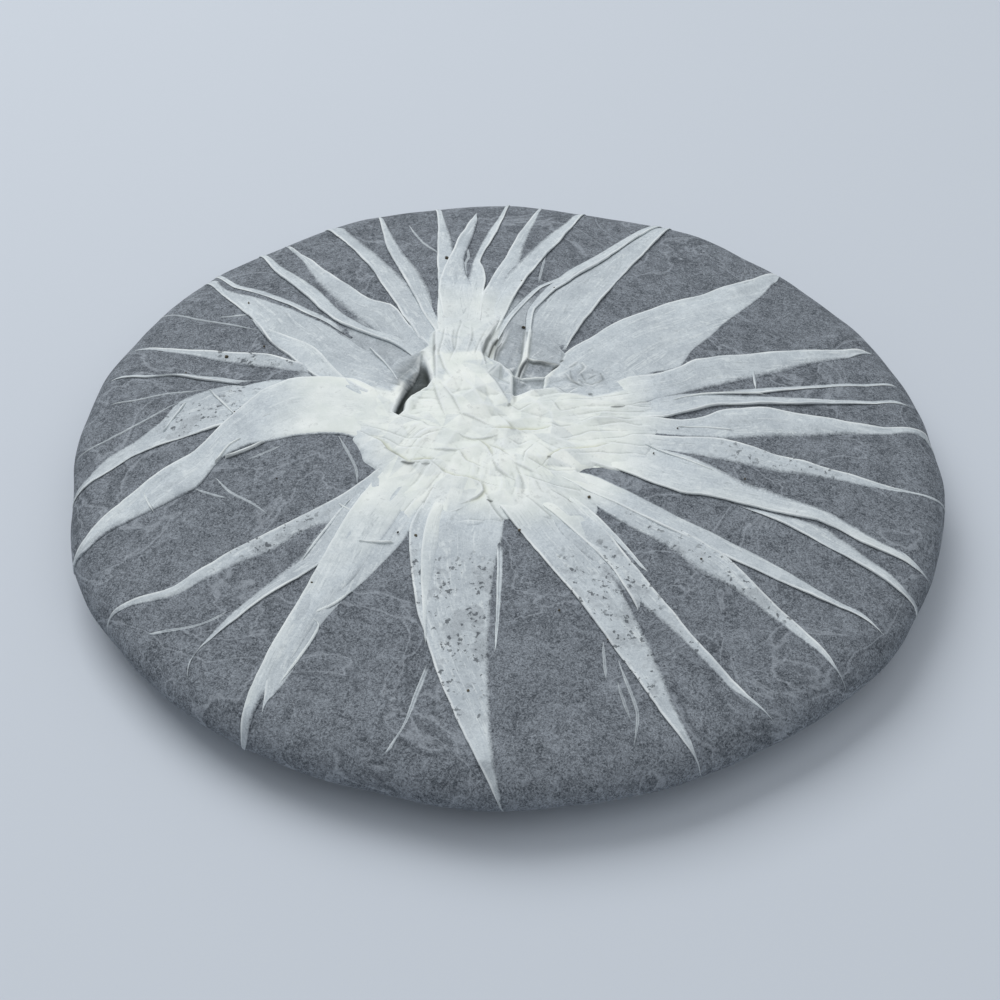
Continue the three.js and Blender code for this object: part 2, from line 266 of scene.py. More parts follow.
PLEATS = {
    "right_fifth": dict(
        fold=[(1, 100), (4.2, 98), (3.7, 90), (3.8, 80), (6.6, 58), (5.4, 50), (2.3, 45), (0.5, 40), (2, 32), (3, 26)],
        soft=[(1, 99.5), (3, 97), (2.2, 90), (0.7, 80), (-3.4, 60), (-6.2, 50), (-7, 42), (-8, 30)]),
    "right_fourth": dict(
        fold=[(9.5, 97), (9.2, 88), (8.9, 80), (7.6, 60), (6.9, 48), (4.5, 42), (1.5, 36), (2, 28)],
        soft=[(9.9, 96), (10.4, 80), (11.5, 58), (14, 45), (15, 32)]),
    "right_third": dict(
        fold=[(13.6, 96), (13.5, 88), (13.6, 80), (12.8, 70), (11.6, 60), (12, 50)],
        soft=[(14, 96), (14.5, 80), (14.2, 70), (14, 55), (14, 50)]),
    "right_second": dict(
        fold=[(21.8, 96), (22.6, 88), (24.3, 73), (25.2, 63), (27.2, 50), (25.2, 45), (26.4, 35), (29.9, 27.7)],
        soft=[(21, 93), (20.2, 80), (18, 67), (14.8, 50), (13, 40), (10, 28)]),
    "right_first": dict(
        fold=[(44.3, 98.5), (45.4, 83), (47.1, 71), (50.8, 56), (53.5, 47), (56.3, 36), (59.5, 29.5), (61, 26)],
        soft=[(43.3, 97.5), (40.2, 82), (36.4, 66), (34, 60), (30.9, 52), (25.5, 45.5), (27, 36), (30, 28), (32, 25)]),
    "right_sixth": dict(
        fold=[(-8.4, 102), (-9, 98), (-9.8, 92), (-9, 70), (-8.1, 60), (-6.4, 50), (-8, 40), (-10, 28)],
        soft=[(-8.8, 101.5), (-9.6, 97), (-11.1, 84), (-12.8, 69), (-14.2, 61), (-15.5, 44), (-16, 30)], dust=(82, 50)),
    "right_eighth": dict(
        fold=[(-28.1, 102.5), (-28.6, 98.5), (-28.8, 95), (-28, 88), (-27.1, 73), (-26.9, 66), (-27.3, 55)],
        soft=[(-27.8, 102), (-27.6, 97), (-26.6, 92.5), (-24.1, 81), (-23, 77), (-25.4, 63), (-27, 56)]),
    "right_seventh": dict(
        fold=[(-23, 100), (-23.6, 96), (-23.4, 83.5), (-22.8, 78), (-23.5, 71.5), (-25.4, 63), (-29.5, 49),
              (-31.8, 46), (-33.9, 34), (-34, 28.8), (-40, 24.5)],
        soft=[(-22.6, 98), (-21.6, 88), (-19.6, 77), (-18.8, 62), (-18.7, 55), (-15.5, 44), (-14, 34), (-12, 26)]),
    "right_ninth": dict(
        fold=[(-36, 97.5), (-37, 86), (-39.5, 73), (-41.8, 63.5), (-45, 50), (-50, 36), (-57, 26), (-66, 17)],
        soft=[(-35.5, 96), (-35.8, 83), (-36.3, 72.5), (-37.5, 58.5), (-39.4, 47), (-40, 40.5), (-41.2, 31.9),
              (-42, 26.9), (-47.4, 23), (-56, 15)]),
    "front_eighth": dict(
        fold=[(-45.2, 101), (-45, 97.5), (-44.5, 94.3), (-44.1, 89.7), (-43.6, 83), (-43.1, 73), (-41.8, 63.5), (-43, 52), (-46, 38),
              (-52, 26)],
        soft=[(-45.3, 100.6), (-45.1, 96.8), (-45.2, 93.6), (-45.3, 87.5), (-45.6, 82), (-47.1, 68), (-48.8, 63), (-50.4, 51), (-53.5, 42), (-58, 30), (-64, 22)],
        dust=(88, 40)),
    "front_seventh": dict(
        fold=[(-56.1, 98.6), (-56.7, 95.4), (-57.4, 91.9), (-57.9, 84.9), (-58.6, 72), (-59, 56), (-59.3, 44), (-60.6, 34), (-62, 27)],
        soft=[(-56.3, 98.4), (-57.2, 94.8), (-58.7, 89.8), (-59.5, 83.1), (-61.4, 70), (-64.6, 60.5), (-68, 50), (-72, 40), (-76, 28)], dust=(86, 44)),
    "front_seventh_band": dict(
        fold=[(-64.2, 64), (-64.2, 52), (-66.4, 43), (-70, 35.5), (-76.6, 28)],
        soft=[(-62.4, 64), (-61.6, 52), (-61.1, 44.4), (-61.4, 36), (-64, 29.5)], dust=(70, 44)),
    "front_seventh_strip": dict(
        fold=[(-57.3, 56), (-57.2, 45), (-57.6, 37.5), (-61, 28.5)],
        soft=[(-58.2, 56), (-59, 45), (-60.4, 37.5), (-64, 28.5)]),
    "front_sixth": dict(
        fold=[(-66.6, 101.2), (-67.1, 99), (-68, 95.3), (-69, 89.5), (-70.2, 79), (-72.8, 65), (-77.2, 50.5), (-81.1, 43), (-87.1, 34.5),
              (-97, 26)],
        soft=[(-66.4, 101), (-66.9, 98.5), (-66.9, 92), (-66.2, 83.8), (-65.3, 73), (-64.5, 51.5), (-66.3, 45), (-70, 35), (-74, 25)],
        dust=(90, 44)),
    "front_fifth": dict(
        fold=[(-89.6, 105.5), (-90.2, 100.3), (-91, 99), (-91.8, 97.1), (-92.9, 94.3), (-94.7, 89.7), (-99.8, 76.5),
              (-107.2, 61), (-111.2, 53.5), (-119, 42), (-124, 30)],
        soft=[(-89.4, 105.5), (-89.9, 101), (-90.2, 98.9), (-90.7, 93.7), (-91.3, 84.2), (-91.9, 68.5), (-92, 59), (-91.5, 47.5), (-90, 38.5), (-88, 28)],
        dust=(90, 44)),
    "front_fifth_inner": dict(
        fold=[(-103.3, 69), (-104.3, 66), (-107.2, 57.6), (-111.5, 48.4), (-116.8, 36.6), (-119, 30)],
        soft=[(-103, 69), (-105.2, 57.6), (-108.2, 43), (-112.4, 34), (-114.6, 28.9)]),
    "front_fifth_strip": dict(
        fold=[(-91.4, 69), (-91.5, 60), (-91.7, 50), (-92.2, 39)],
        soft=[(-91.2, 69), (-90.6, 60), (-90.1, 50), (-90, 39)]),
    "front_fifth_spur": dict(
        fold=[(-104, 95.5), (-102.9, 90), (-102.6, 79.5), (-102, 72.5)],
        soft=[(-103.4, 95.5), (-102.1, 85.5), (-101.7, 79.5), (-101.2, 73)]),
    "front_fourth": dict(
        fold=[(-120.2, 95.6), (-121.2, 92.4), (-122.8, 88), (-125.2, 82.4), (-126.8, 72.5), (-130.2, 60.3),
              (-136.7, 46.2), (-143.4, 35.7), (-149, 28)],
        soft=[(-120.1, 95.4), (-120.3, 92.2), (-120.1, 89.2), (-120.2, 82.9), (-120.6, 76), (-120.9, 71.3),
              (-120.5, 65.2), (-119.3, 57.6), (-117.7, 45.5), (-119, 38), (-122, 29)]),
    "front_fourth_band": dict(
        fold=[(-121.3, 104.3), (-121.5, 99.8), (-122.1, 98.2), (-122.8, 95.2), (-124, 89), (-125.2, 82.4), (-126.8, 72.5), (-130.2, 60.3),
              (-136.7, 46.2), (-143.4, 35.7), (-149, 28)],
        soft=[(-121, 104.3), (-120.7, 100), (-120.9, 97), (-121.1, 94.5), (-121.1, 90), (-121.4, 80.6), (-122, 71.6),
              (-122.4, 65.7), (-121.8, 60.8), (-122.4, 49.4), (-123.5, 42.5), (-127, 34), (-131, 27)]),
    "front_third": dict(
        fold=[(-131.4, 97), (-132.7, 94.4), (-133.3, 90.4), (-133.3, 84.9), (-132.7, 75), (-130.1, 60), (-134, 49), (-139, 40),
              (-144, 32)],
        soft=[(-131.9, 96.5), (-132.9, 93.1), (-134, 87.5), (-134.8, 81), (-135, 70), (-135.4, 61.2), (-138, 53.5), (-142.6, 42.5),
              (-147, 32)]),
    "front_third_spur": dict(
        fold=[(-140.4, 95.5), (-138, 90), (-136.5, 86), (-135.2, 80)],
        soft=[(-139.8, 95.5), (-137.5, 90), (-136.1, 86), (-134.9, 81)]),
    "front_second": dict(
        fold=[(-146.1, 100.5), (-146.8, 99.2), (-147.1, 97.8), (-146.9, 96), (-146.3, 92.9), (-145.3, 88.6), (-144.6, 85), (-145, 79.5), (-144.9, 70), (-143.8, 53), (-143.7, 46.5),
              (-146, 36), (-150, 30)],
        soft=[(-146.4, 100.2), (-146.4, 98), (-146, 95.5), (-144.8, 92), (-143.6, 88.4), (-142.9, 84.6), (-142.4, 77.5), (-139.7, 65), (-139, 55), (-134, 46),
              (-132, 34)],
        dust=(80, 50)),
    "left_first": dict(
        fold=[(-158.2, 101.5), (-159.2, 98.6), (-161.4, 93.6), (-167.4, 81.6), (-172.2, 70.7), (-178.8, 64.4), (-184.4, 60.2),
              (-190, 57), (-195.4, 52), (-198.4, 44.5), (-201, 37.5), (-197, 31), (-190, 27)],
        soft=[(-157.7, 101.3), (-157.8, 98.8), (-158.8, 94.4), (-160.6, 84.7), (-161.6, 76.8), (-162.9, 70.9), (-169.3, 64.3), (-172, 58.6), (-172, 54),
              (-172.4, 46.6), (-168.8, 35.7), (-163, 32), (-150, 29)]),
    "left_second": dict(
        fold=[(-169.2, 102), (-169.8, 98.9), (-171.4, 92.1), (-174.4, 84.9), (-176.9, 73.6), (-180, 61.7), (-181, 54), (-183, 44)],
        soft=[(-169.9, 101.6), (-172, 96.8), (-175.3, 91), (-178.6, 84), (-182.5, 79.5), (-188.6, 76), (-191.8, 69), (-194.4, 61),
              (-196.6, 54), (-199.5, 44)],
        dust=(84, 58)),
    "left_fourth": dict(
        fold=[(166.8, 97), (166.6, 88), (165.7, 82), (167, 69.5), (167.8, 62)],
        soft=[(166.5, 96), (165.1, 82), (165.1, 69), (165.7, 62.5), (164.2, 54)]),
    "left_fifth": dict(
        fold=[(160, 97), (159.3, 92), (158.2, 77.5), (156.3, 61.5), (157, 51.5), (158, 42)],
        soft=[(159.9, 96), (159.9, 82.5), (161.4, 63), (160.9, 50.5), (161, 42)], dust=(80, 50)),
    "left_sixth": dict(
        fold=[(140.6, 99), (143.4, 86), (147.1, 73.1), (151.8, 64), (157.6, 52.2), (161.7, 46.3), (168, 28)],
        soft=[(138.8, 99), (141, 89.6), (140.2, 78.7), (139.6, 66.9), (140.2, 54.8), (141, 47.2), (143, 37.6),
              (150, 27)]),
    "left_sixth_inner": dict(
        fold=[(146.8, 74), (148.9, 65.3), (149.7, 56.8), (150.9, 51.2), (155.8, 44.2), (160.5, 39.1), (166, 30)],
        soft=[(147, 74), (152.3, 63.8), (157.9, 52.6), (161.8, 46.9), (166, 39), (171, 30)]),
    "left_sixth_strip": dict(
        fold=[(138.2, 100), (140.2, 89.6), (139.5, 78.7), (139.4, 66.9), (140.2, 54.8), (141.5, 47.2)],
        soft=[(137.6, 100), (139, 89.6), (138, 78.7), (137.7, 66.9), (138.2, 54.8), (139, 47.2)]),
    "left_seventh": dict(
        fold=[(130.2, 100), (133.3, 84.3), (134.5, 72.9), (138.3, 55.8), (137.8, 48.3), (135.1, 40), (134, 30)],
        soft=[(129.8, 99.5), (131, 84), (131.4, 70), (134.2, 56), (134, 48), (130, 40), (128, 30)]),
    "left_eighth": dict(
        fold=[(126, 98), (126.4, 89), (126.7, 69.3), (125.7, 55.7), (123.1, 51), (123.6, 40), (124, 28)],
        soft=[(126.6, 96), (127.6, 85.6), (130.5, 73.6), (133.6, 57.8), (134.7, 47.5), (133.5, 38.9), (136, 28)]),
    "back_first": dict(
        fold=[(119, 99), (119.1, 92.3), (118.7, 87.7), (119, 72.5), (120.7, 57.7), (122.4, 48), (124.7, 37.5),
              (132, 27)],
        soft=[(117, 98), (115.8, 84.5), (114.6, 68), (113.6, 58.5), (114.4, 48), (115, 39.5), (118, 27)]),
    "back_second": dict(
        fold=[(110.3, 98), (113.4, 76), (115.1, 56.5), (116.8, 45.5), (119, 30)],
        soft=[(110, 98), (110.4, 75), (109.6, 57.5), (112, 46), (115, 30)]),
    "back_third": dict(
        fold=[(101.3, 99), (101.4, 93), (104.8, 68.6), (109.5, 49.9), (115.6, 38.2), (119, 28)],
        soft=[(100.4, 99), (100.4, 92.2), (100.2, 76.7), (100.6, 64.3), (101.7, 55), (106, 40), (110, 28)]),
    "back_fourth": dict(
        fold=[(95, 91), (96.6, 85.9), (98.5, 79), (102.1, 67.7), (106.7, 57.3), (109.5, 49.9), (113, 38)],
        soft=[(94.7, 90.5), (95.4, 83.5), (96.8, 75.1), (99.2, 65.5), (99.6, 58), (98.6, 52), (99, 45), (104, 38)]),
    "back_fourth_inner": dict(
        fold=[(89.3, 100), (90, 93), (92, 79), (96, 63.5), (95.5, 59), (95.3, 55), (96.2, 50), (97.4, 44), (104, 28)],
        soft=[(89.6, 100), (91.2, 90), (93.6, 81), (97, 67), (100.2, 57), (103.6, 50), (108, 38), (114, 28)]),
    "back_fifth": dict(
        fold=[(84.5, 99.5), (85.2, 93.1), (86.6, 85.8), (88.2, 76.8), (90.6, 64.2), (93.4, 55.8), (97.4, 46.5),
              (101, 37), (105, 28)],
        soft=[(84.2, 99), (85.6, 80), (86.2, 70), (86.5, 61.5), (88, 54), (90.5, 43.9), (96, 28)]),
    "back_sixth": dict(
        fold=[(77.4, 99), (78, 90.8), (79.9, 75.2), (82.8, 62.1), (86.4, 49.8), (90.7, 37.6), (98.1, 27.7)],
        soft=[(78.4, 97), (80.4, 87.7), (83.9, 75.4), (87, 65.7), (92, 55), (97, 42), (103, 28)]),
    "back_eighth": dict(
        fold=[(63.9, 99), (63.7, 92.7), (63.6, 61.2), (63.2, 42.8), (61, 29)],
        soft=[(65.6, 97), (66, 94.1), (67.2, 86.4), (69.8, 70.5), (74.7, 55.9), (77.4, 50.5), (81, 41.4), (80, 28)]),
    "back_veil": dict(
        fold=[(113, 50), (114, 44), (118, 36), (124, 27)], soft=[(90, 52), (90, 46), (92, 38), (98, 27)]),
    "left_veil": dict(
        fold=[(121, 60), (119, 50), (119, 42), (120, 35)], soft=[(177, 60), (179, 50), (181, 42), (183, 36)]),
    "back_inner_veil": dict(
        fold=[(100, 52), (100, 42), (104, 34), (110, 26)], soft=[(66, 52), (65, 44), (62, 36), (58, 26)]),
    "right_inner_veil": dict(
        fold=[(46, 35), (47, 31), (50, 28), (54, 25)], soft=[(20, 44), (20, 38), (20, 32), (20, 26)]),
    "back_seventh": dict(
        fold=[(65.4, 99), (65.6, 94.1), (66.8, 86.4), (69.4, 70.5), (74.3, 55.9), (77, 50.5), (80.6, 41.4),
              (78.1, 28.2)],
        soft=[(66.3, 99), (66.7, 95.3), (68.2, 88.7), (71.2, 75.3), (76.1, 60.7), (79.3, 52.4), (83.2, 41.8),
              (81.5, 29)]),
    "back_seventh_strand": dict(
        fold=[(74, 61.5), (75.7, 57.7), (80.3, 51.5), (84.1, 44.2), (87.9, 37.7), (95.5, 27.2)],
        soft=[(74.5, 62), (76.8, 58), (81.6, 52), (86.2, 44.6), (90.6, 38), (98.5, 27.6)]),
}

# Where a pleat isn't like most: how white it is in layers, out on the cake and at its root, how high its fold
# stands and how far the whole of it is lifted
PLEAT_LOOKS = {
    "right_first": dict(layers=0.9, rise=0.8, root=1.0, blur=1.0), "right_eighth": dict(layers=0.88),
    "right_second": dict(lift=0.15), "right_fourth": dict(layers=0.85, rise=1.0), "right_third": dict(layers=0.85, rise=1.0),
    "right_seventh": dict(layers=1.0), "right_ninth": dict(lift=0.1, blur=0.8),  "front_fifth": dict(layers=0.88, blur=2.0, tip=93.8, thin=(0.5, 0.3)),
    "front_fifth_inner": dict(layers=1.0, root=1.4, rise=0.4, lift=0.55, blur=1.2, whiten=48, onto=("front_fifth", 80)), "front_fifth_strip": dict(layers=0.85, rise=0.5),
    "front_fifth_spur": dict(layers=0.7, rise=0.4), "front_seventh": dict(layers=0.85),
    "front_seventh_band": dict(layers=1.0, root=1.4, rise=0.4, lift=0.25, blur=2.5, whiten=46, onto=("front_seventh", 70), melt=0.4),
    "front_seventh_strip": dict(layers=0.95, rise=0.6, lift=0.1, blur=0.5), "front_third": dict(layers=0.76, root=1.1, blur=4.0, whiten=50),
    "front_fourth": dict(layers=0.84, root=1.05, rise=0.5, blur=0.7, whiten=58),
    "front_fourth_band": dict(layers=1.0, root=1.3, rise=0.5, lift=0.3, blur=2.2, whiten=58, onto=("front_fourth", 92)), "front_sixth": dict(blur=2.0),
    "front_third_spur": dict(layers=0.65, rise=0.4), "front_second": dict(layers=0.8),
    "left_first": dict(layers=0.95, root=1.4, rise=0.7, lift=0.4, blur=1.2, whiten=60),
    "left_second": dict(layers=0.8, root=1.15, rise=0.45, blur=1.5, whiten=70),
    "left_fourth": dict(layers=0.85, root=0.9), "left_fifth": dict(layers=0.75, root=0.8),
    "left_sixth": dict(layers=0.85, root=0.85, blur=1.2), "left_sixth_strip": dict(layers=0.85, rise=0.7, root=0.8),
    "left_sixth_inner": dict(layers=1.0, root=0.95, rise=0.5, lift=0.55, blur=0.8),
    "left_seventh": dict(layers=0.9, root=0.9, rise=0.8, lift=0.15, blur=1.2), "left_eighth": dict(layers=0.78, root=0.85),
    "left_veil": dict(layers=0.55, root=0.75, rise=0.12, both=True),
    "back_inner_veil": dict(layers=0.6, root=0.6, rise=0.12, both=True),
    "right_inner_veil": dict(layers=0.75, root=0.75, rise=0.12, both=True),
    "back_first": dict(layers=0.85, root=1.0), "back_second": dict(layers=0.85, root=1.15, whiten=52),
    "back_third": dict(root=1.17, whiten=60), "back_fourth": dict(root=1.2, lift=0.35, blur=1.0, whiten=60),
    "back_fourth_inner": dict(layers=0.95, root=1.2, lift=0.15, whiten=62),
    "back_fifth": dict(root=1.2, whiten=58), "back_sixth": dict(root=1.13, whiten=56),
    "back_veil": dict(layers=0.9, root=1.2, rise=0.15, both=True, whiten=56), "back_eighth": dict(layers=0.85, root=0.5, blur=1.0),
    "back_seventh": dict(layers=0.9, root=0.95, lift=0.2, blur=0.8),
    "back_seventh_strand": dict(layers=0.9, root=1.0, lift=0.15, blur=0.8),
}

# Small sharp creases: how white, how high they lie and the middle of the ridge
CREASES = [
    (0.5, 0, [(-177.5, 99), (-179, 91.5), (-182.4, 84.5), (-188.4, 75)]),
    (0.5, 0, [(172.7, 93), (170.4, 80.5), (169.2, 71)]),
    (0.5, 0, [(150.5, 99), (150, 83), (149, 68)]),
    (0.5, 0, [(148.5, 82), (145.2, 75)]),
    (0.6, 0, [(106.7, 88.4), (106, 76.7), (102.9, 68)]),
    (0.6, 0, [(98.4, 76.3), (98.2, 66.8), (99.3, 64), (100, 54.7)]),
    (0.6, 0, [(81.6, 67), (81.5, 53.5)]),
    (0.55, 0, [(-164.2, 66.5), (-159.4, 64.4), (-153.8, 61), (-149, 59.5)]),
    (0.55, 0, [(-163, 71.4), (-158.1, 65.6)]),
    (0.5, 0, [(-169.7, 51), (-167.3, 58.8)]),
    (0.5, 0, [(-72.8, 69), (-74.5, 78)]),
    (0.5, 0, [(-71.6, 74), (-72, 87.5), (-74, 94)]),
    (0.35, 0, [(-73, 79), (-73.2, 88)]),
    (1.1, 0.7, [(-127.6, 50.7), (-124, 48.6), (-120, 46.6)]),
    (1.1, 0.35, [(-120.3, 62), (-121.8, 67.5), (-123.4, 71), (-124.3, 75)]),
    (1.1, 0.2, [(-123.2, 72), (-121.4, 72.5), (-120.8, 76), (-120.7, 82), (-120.7, 89)]),
    (1.0, 0.35, [(-141.2, 42.6), (-137.4, 50.5), (-133.3, 62.8)]),
    (1.1, 0.9, [(-169.1, 63.8), (-170.6, 58.6), (-172.6, 54.3)]),
    (1.05, 0.9, [(-168.0, 66.2), (-172.9, 62.6), (-174.8, 59.3)]),
    (1.0, 0.6, [(-190.4, 70), (-185.6, 64.6), (-181.2, 61)]),
    (1.1, 0.5, [(-193.6, 52), (-188, 50.4), (-183.4, 47)]),
    (1.1, 0.6, [(-180.4, 56), (-184.6, 50.8), (-190, 44.6), (-196.4, 40)]),
    (1.1, 0.4, [(-176.6, 46), (-180.2, 41.6), (-184, 38.4)]),
    (0.95, 0.6, [(141.3, 41.6), (143.6, 36.4), (148.4, 30.6), (155, 26.8)]),
    (0.9, 0.5, [(-179, 78.2), (-182.1, 76.8), (-187.5, 74.5)]),
    (1.05, 0.8, [(-165.1, 82.4), (-160.7, 81.2)]),
    (0.5, 0, [(-170.2, 38), (-160, 36.8), (-152, 37), (-144.4, 39.6)]),
    (1.1, 0.5, [(-141.6, 46), (-134.6, 44.8)]),
    (0.9, 0.5, [(20.2, 62.1), (13.2, 59.8)]),
    (1.1, 0.5, [(9.9, 38.3), (11.8, 41.8), (12.7, 46), (12.1, 53.9), (11.4, 61.8)]),
    (1.05, 0.5, [(-3.2, 38.8), (-2.2, 45.6), (-2, 52.4)]),
    (1.05, 0.4, [(-14.7, 32), (-17.5, 40), (-19.6, 50)]),
]
CREASE_WIDTH = 0.75

PLEAT_STEP = 1.2
PLEAT_EDGE = 0.06


def unrolled(points):
    """Points given as angle and distance over the back, on the flat."""
    angle, t = np.radians([p[0] for p in points]), np.array([p[1] for p in points], float)
    return np.stack([t * np.cos(angle), t * np.sin(angle)], -1)


def strip(name, seed, fold, soft, dust=None, layers=0.9, root=1.5, whiten=42.0, rise=0.7, lift=0.0, blur=3.0,
          both=False, pointed=False, onto=None, melt=0.001, tip=94.5, thin=(3.5, 0.35)):
    """A folded strip of tissue: it climbs from its soft edge, turns under at its fold and lies on the sheet."""
    fold, soft = unrolled(fold), unrolled(soft)
    length = np.linalg.norm(np.diff(fold, axis=0), axis=1).sum()
    rows = int(max(14, length / PLEAT_STEP))
    stations = np.linspace(0, 1, rows) ** 1.3
    fold_line, soft_line = smooth_path(fold, stations, 0.6), smooth_path(soft, stations, 0.4)
    width = np.linalg.norm(fold_line - soft_line, axis=1)
    if not (pointed or both):
        soft_line = fold_line + (soft_line - fold_line) * smoothstep(-0.02, 0.07, stations)[:, None]
        width = np.linalg.norm(fold_line - soft_line, axis=1)
    wobble = 0.08 * ripple(stations * length, 0 * stations, 9, seed + 90) + 0.04 * ripple(stations * length, 0 * stations, 3, seed)
    fold_line = fold_line + (soft_line - fold_line) * (wobble * np.minimum(1, width / 3) / np.maximum(width, 0.3))[:, None]
    if pointed:
        narrow = smoothstep(0, 0.25, stations) * smoothstep(1, 0.7, stations)
        middle = (fold_line + soft_line) / 2
        fold_line = middle + (fold_line - middle) * (0.12 + 0.88 * narrow)[:, None]
        soft_line = middle + (soft_line - middle) * (0.12 + 0.88 * narrow)[:, None]
        width = np.linalg.norm(fold_line - soft_line, axis=1)
    # Across the strip, from the lip turned under at the fold to the soft edge, in millimetres from the fold
    near = np.minimum(1, width / 2.0)
    flats = int(max(4, width.max() / 1.2))
    inset = [0.8 * near, 0.2 * near, 0 * near, 0.08 * near, 0.3 * near, 0.65 * near]
    inset += [0.65 * near + (width - 0.65 * near) * (i + 1) / flats for i in range(flats)]
    inset = np.stack(inset, 1)
    columns = inset.shape[1]
    share = np.clip(inset / np.maximum(width, 1e-3)[:, None], 0, 1)
    along = stations[:, None]
    ends = smoothstep(-0.012, 0.045, along) * smoothstep(1, 0.93, along)
    stand = rise * np.minimum(1, width / 3.5)[:, None] * near[:, None]
    top = stand * (1 + 0.3 * ripple(along * length, 0 * along, 14, seed)) * ends * (1 - share) ** 0.8
    # The sheet between is never flat: long faint creases run up it
    creases = ripple(along * length / 9, inset, 2.6, seed + 50, 6, triangle_wave)
    top = top + 0.16 * creases * ends * smoothstep(0.3, 1.4, inset) * smoothstep(0, 1.2, width[:, None] - inset)
    height = (np.maximum(top, 0.12 + 0.14 * smoothstep(0.2, 0.06, along)) + lift) * ends - PLEAT_EDGE
    height[:, -1] = -PLEAT_EDGE
    height[:, 0] = 0.04 * ends[:, 0] - 0.02
    height[:, 1] = 0.08 * ends[:, 0] - 0.02
    height[:, 2] = 0.5 * top[:, 2] + 0.5 * lift * ends[:, 0]
    height[:, 3] = 0.88 * top[:, 3] + lift * ends[:, 0]
    if both:
        height = 0.05 * ends * smoothstep(0, 0.1, share) * smoothstep(1, 0.9, share) - 0.02
    blur = 0.7 + (blur - 0.7) * smoothstep(34, 58, np.hypot(fold_line[:, 0], fold_line[:, 1])[:, None])
    fade = np.clip((width[:, None] - inset) / np.minimum(blur, 0.45 * width[:, None]), 0, 1)
    # Tips are crisp on both sides
    fade = np.maximum(fade, smoothstep(0.12, 0.04, along) * (share < 1))
    # A faded edge lies under its neighbours
    height = np.where(height > 0, height * (0.3 + 0.7 * fade), height)
    flat = fold_line[:, None] + (soft_line - fold_line)[:, None] * share[..., None]
    radius = np.hypot(flat[..., 0], flat[..., 1])
    points = on_wrap(radius, np.arctan2(flat[..., 1], flat[..., 0]), height)
    piece, column, row = grid(name, columns, rows)
    inward, across = fold_line[-1] - fold_line[0], soft_line[rows // 2] - fold_line[rows // 2]
    if across[0] * inward[1] - across[1] * inward[0] < 0:
        column = columns - 1 - column
    if both:
        fade = smoothstep(0, 0.3, along) * smoothstep(0, 0.2, share) * smoothstep(1, 0.8, share)
    if radius[-1, 0] > 38 and not pointed:
        fade = fade * smoothstep(1, 0.8, along)
    whiter = layers + 0.12 * np.exp(-inset / 2.5) + (root - layers) * whiteness(radius, whiten)
    whiter = whiter * (1 - thin[1] * smoothstep(tip, tip + thin[0], radius))
    if onto:
        # A band on another pleat fades into that one, not into the sheet
        beneath, reach = onto
        under = {"layers": 0.9, "root": 1.5, "whiten": 42.0, **PLEAT_LOOKS[beneath]}
        below = under["layers"] + (under["root"] - under["layers"]) * whiteness(radius, under["whiten"])
        covered = smoothstep(reach, reach - 5, radius)
        whiter = whiter + (below - whiter) * (1 - fade * smoothstep(0, melt, along)) * covered
        fade = fade + (1 - fade) * covered
    # A painted highlight runs along the lip turned under at the fold
    ridge = np.zeros_like(inset)
    if not both:
        ridge[:, 2:5] = 0.8 + 0.35 * ripple(along * length, 0 * along, 12, seed + 7)
    dusty = np.zeros_like(inset)
    if dust:
        dusty = smoothstep(dust[0], dust[0] - 8, radius) * smoothstep(dust[1] - 4, dust[1] + 6, radius)
    shape(piece, points[row, column], layers=whiter[row, column], fade=fade[row, column],
          ridge=ridge[row, column], dust=dusty[row, column])
    flow_map(piece, inset[row, column] / 10 + seed * 1.7, stations[row] * length / 10)
    return piece


def tissue_pleats():
    pieces = []
    for number, (name, pleat) in enumerate(PLEATS.items()):
        pieces.append(strip(name, number, **pleat, **PLEAT_LOOKS.get(name, {})))
    for number, (layers, lift, line) in enumerate(CREASES):
        middle = unrolled(line)
        heading = np.gradient(middle, axis=0)
        side = np.stack([-heading[:, 1], heading[:, 0]], -1) / np.linalg.norm(heading, axis=1)[:, None]
        edges = []
        for half in (-CREASE_WIDTH / 2, CREASE_WIDTH / 2):
            edge = middle + side * half
            edges.append([(math.degrees(math.atan2(y, x)), math.hypot(x, y)) for x, y in edge])
        pieces.append(strip(f"crease_{number}", 200 + number, edges[0], edges[1], layers=layers, root=layers,
                            rise=0.35, lift=lift, pointed=True))
    piece = join("tissue_pleats", pieces)
    apply(piece, "SOLIDIFY", thickness=0.07 * MM, offset=-1)
    return piece


# Loose crumbs of tea that cling to the tissue: angle, distance from the axis and size

CRUMBS = [
    (-128, 65, 0.6), (159, 71, 0.7), (154, 64, 0.5), (156, 48, 0.7), (163, 44, 0.6), (143, 79, 0.6),
    (-121, 44, 0.6), (-4, 39, 0.5), (-19, 56, 0.6), (-23, 69, 0.5), (103, 67, 0.8), (83, 34, 0.9),
    (86, 53, 0.5), (77, 52, 0.6), (133, 104, 0.5), (177, 62, 0.5), (-116, 43, 0.7), (-85, 37, 0.6),
    (-55, 32, 0.6), (-19, 35, 0.5), (165, 78, 0.4), (-158, 54, 0.4), (-79, 60, 0.5), (-46, 60, 0.4),
    (-95, 79, 0.5), (-72, 69, 0.4),
]


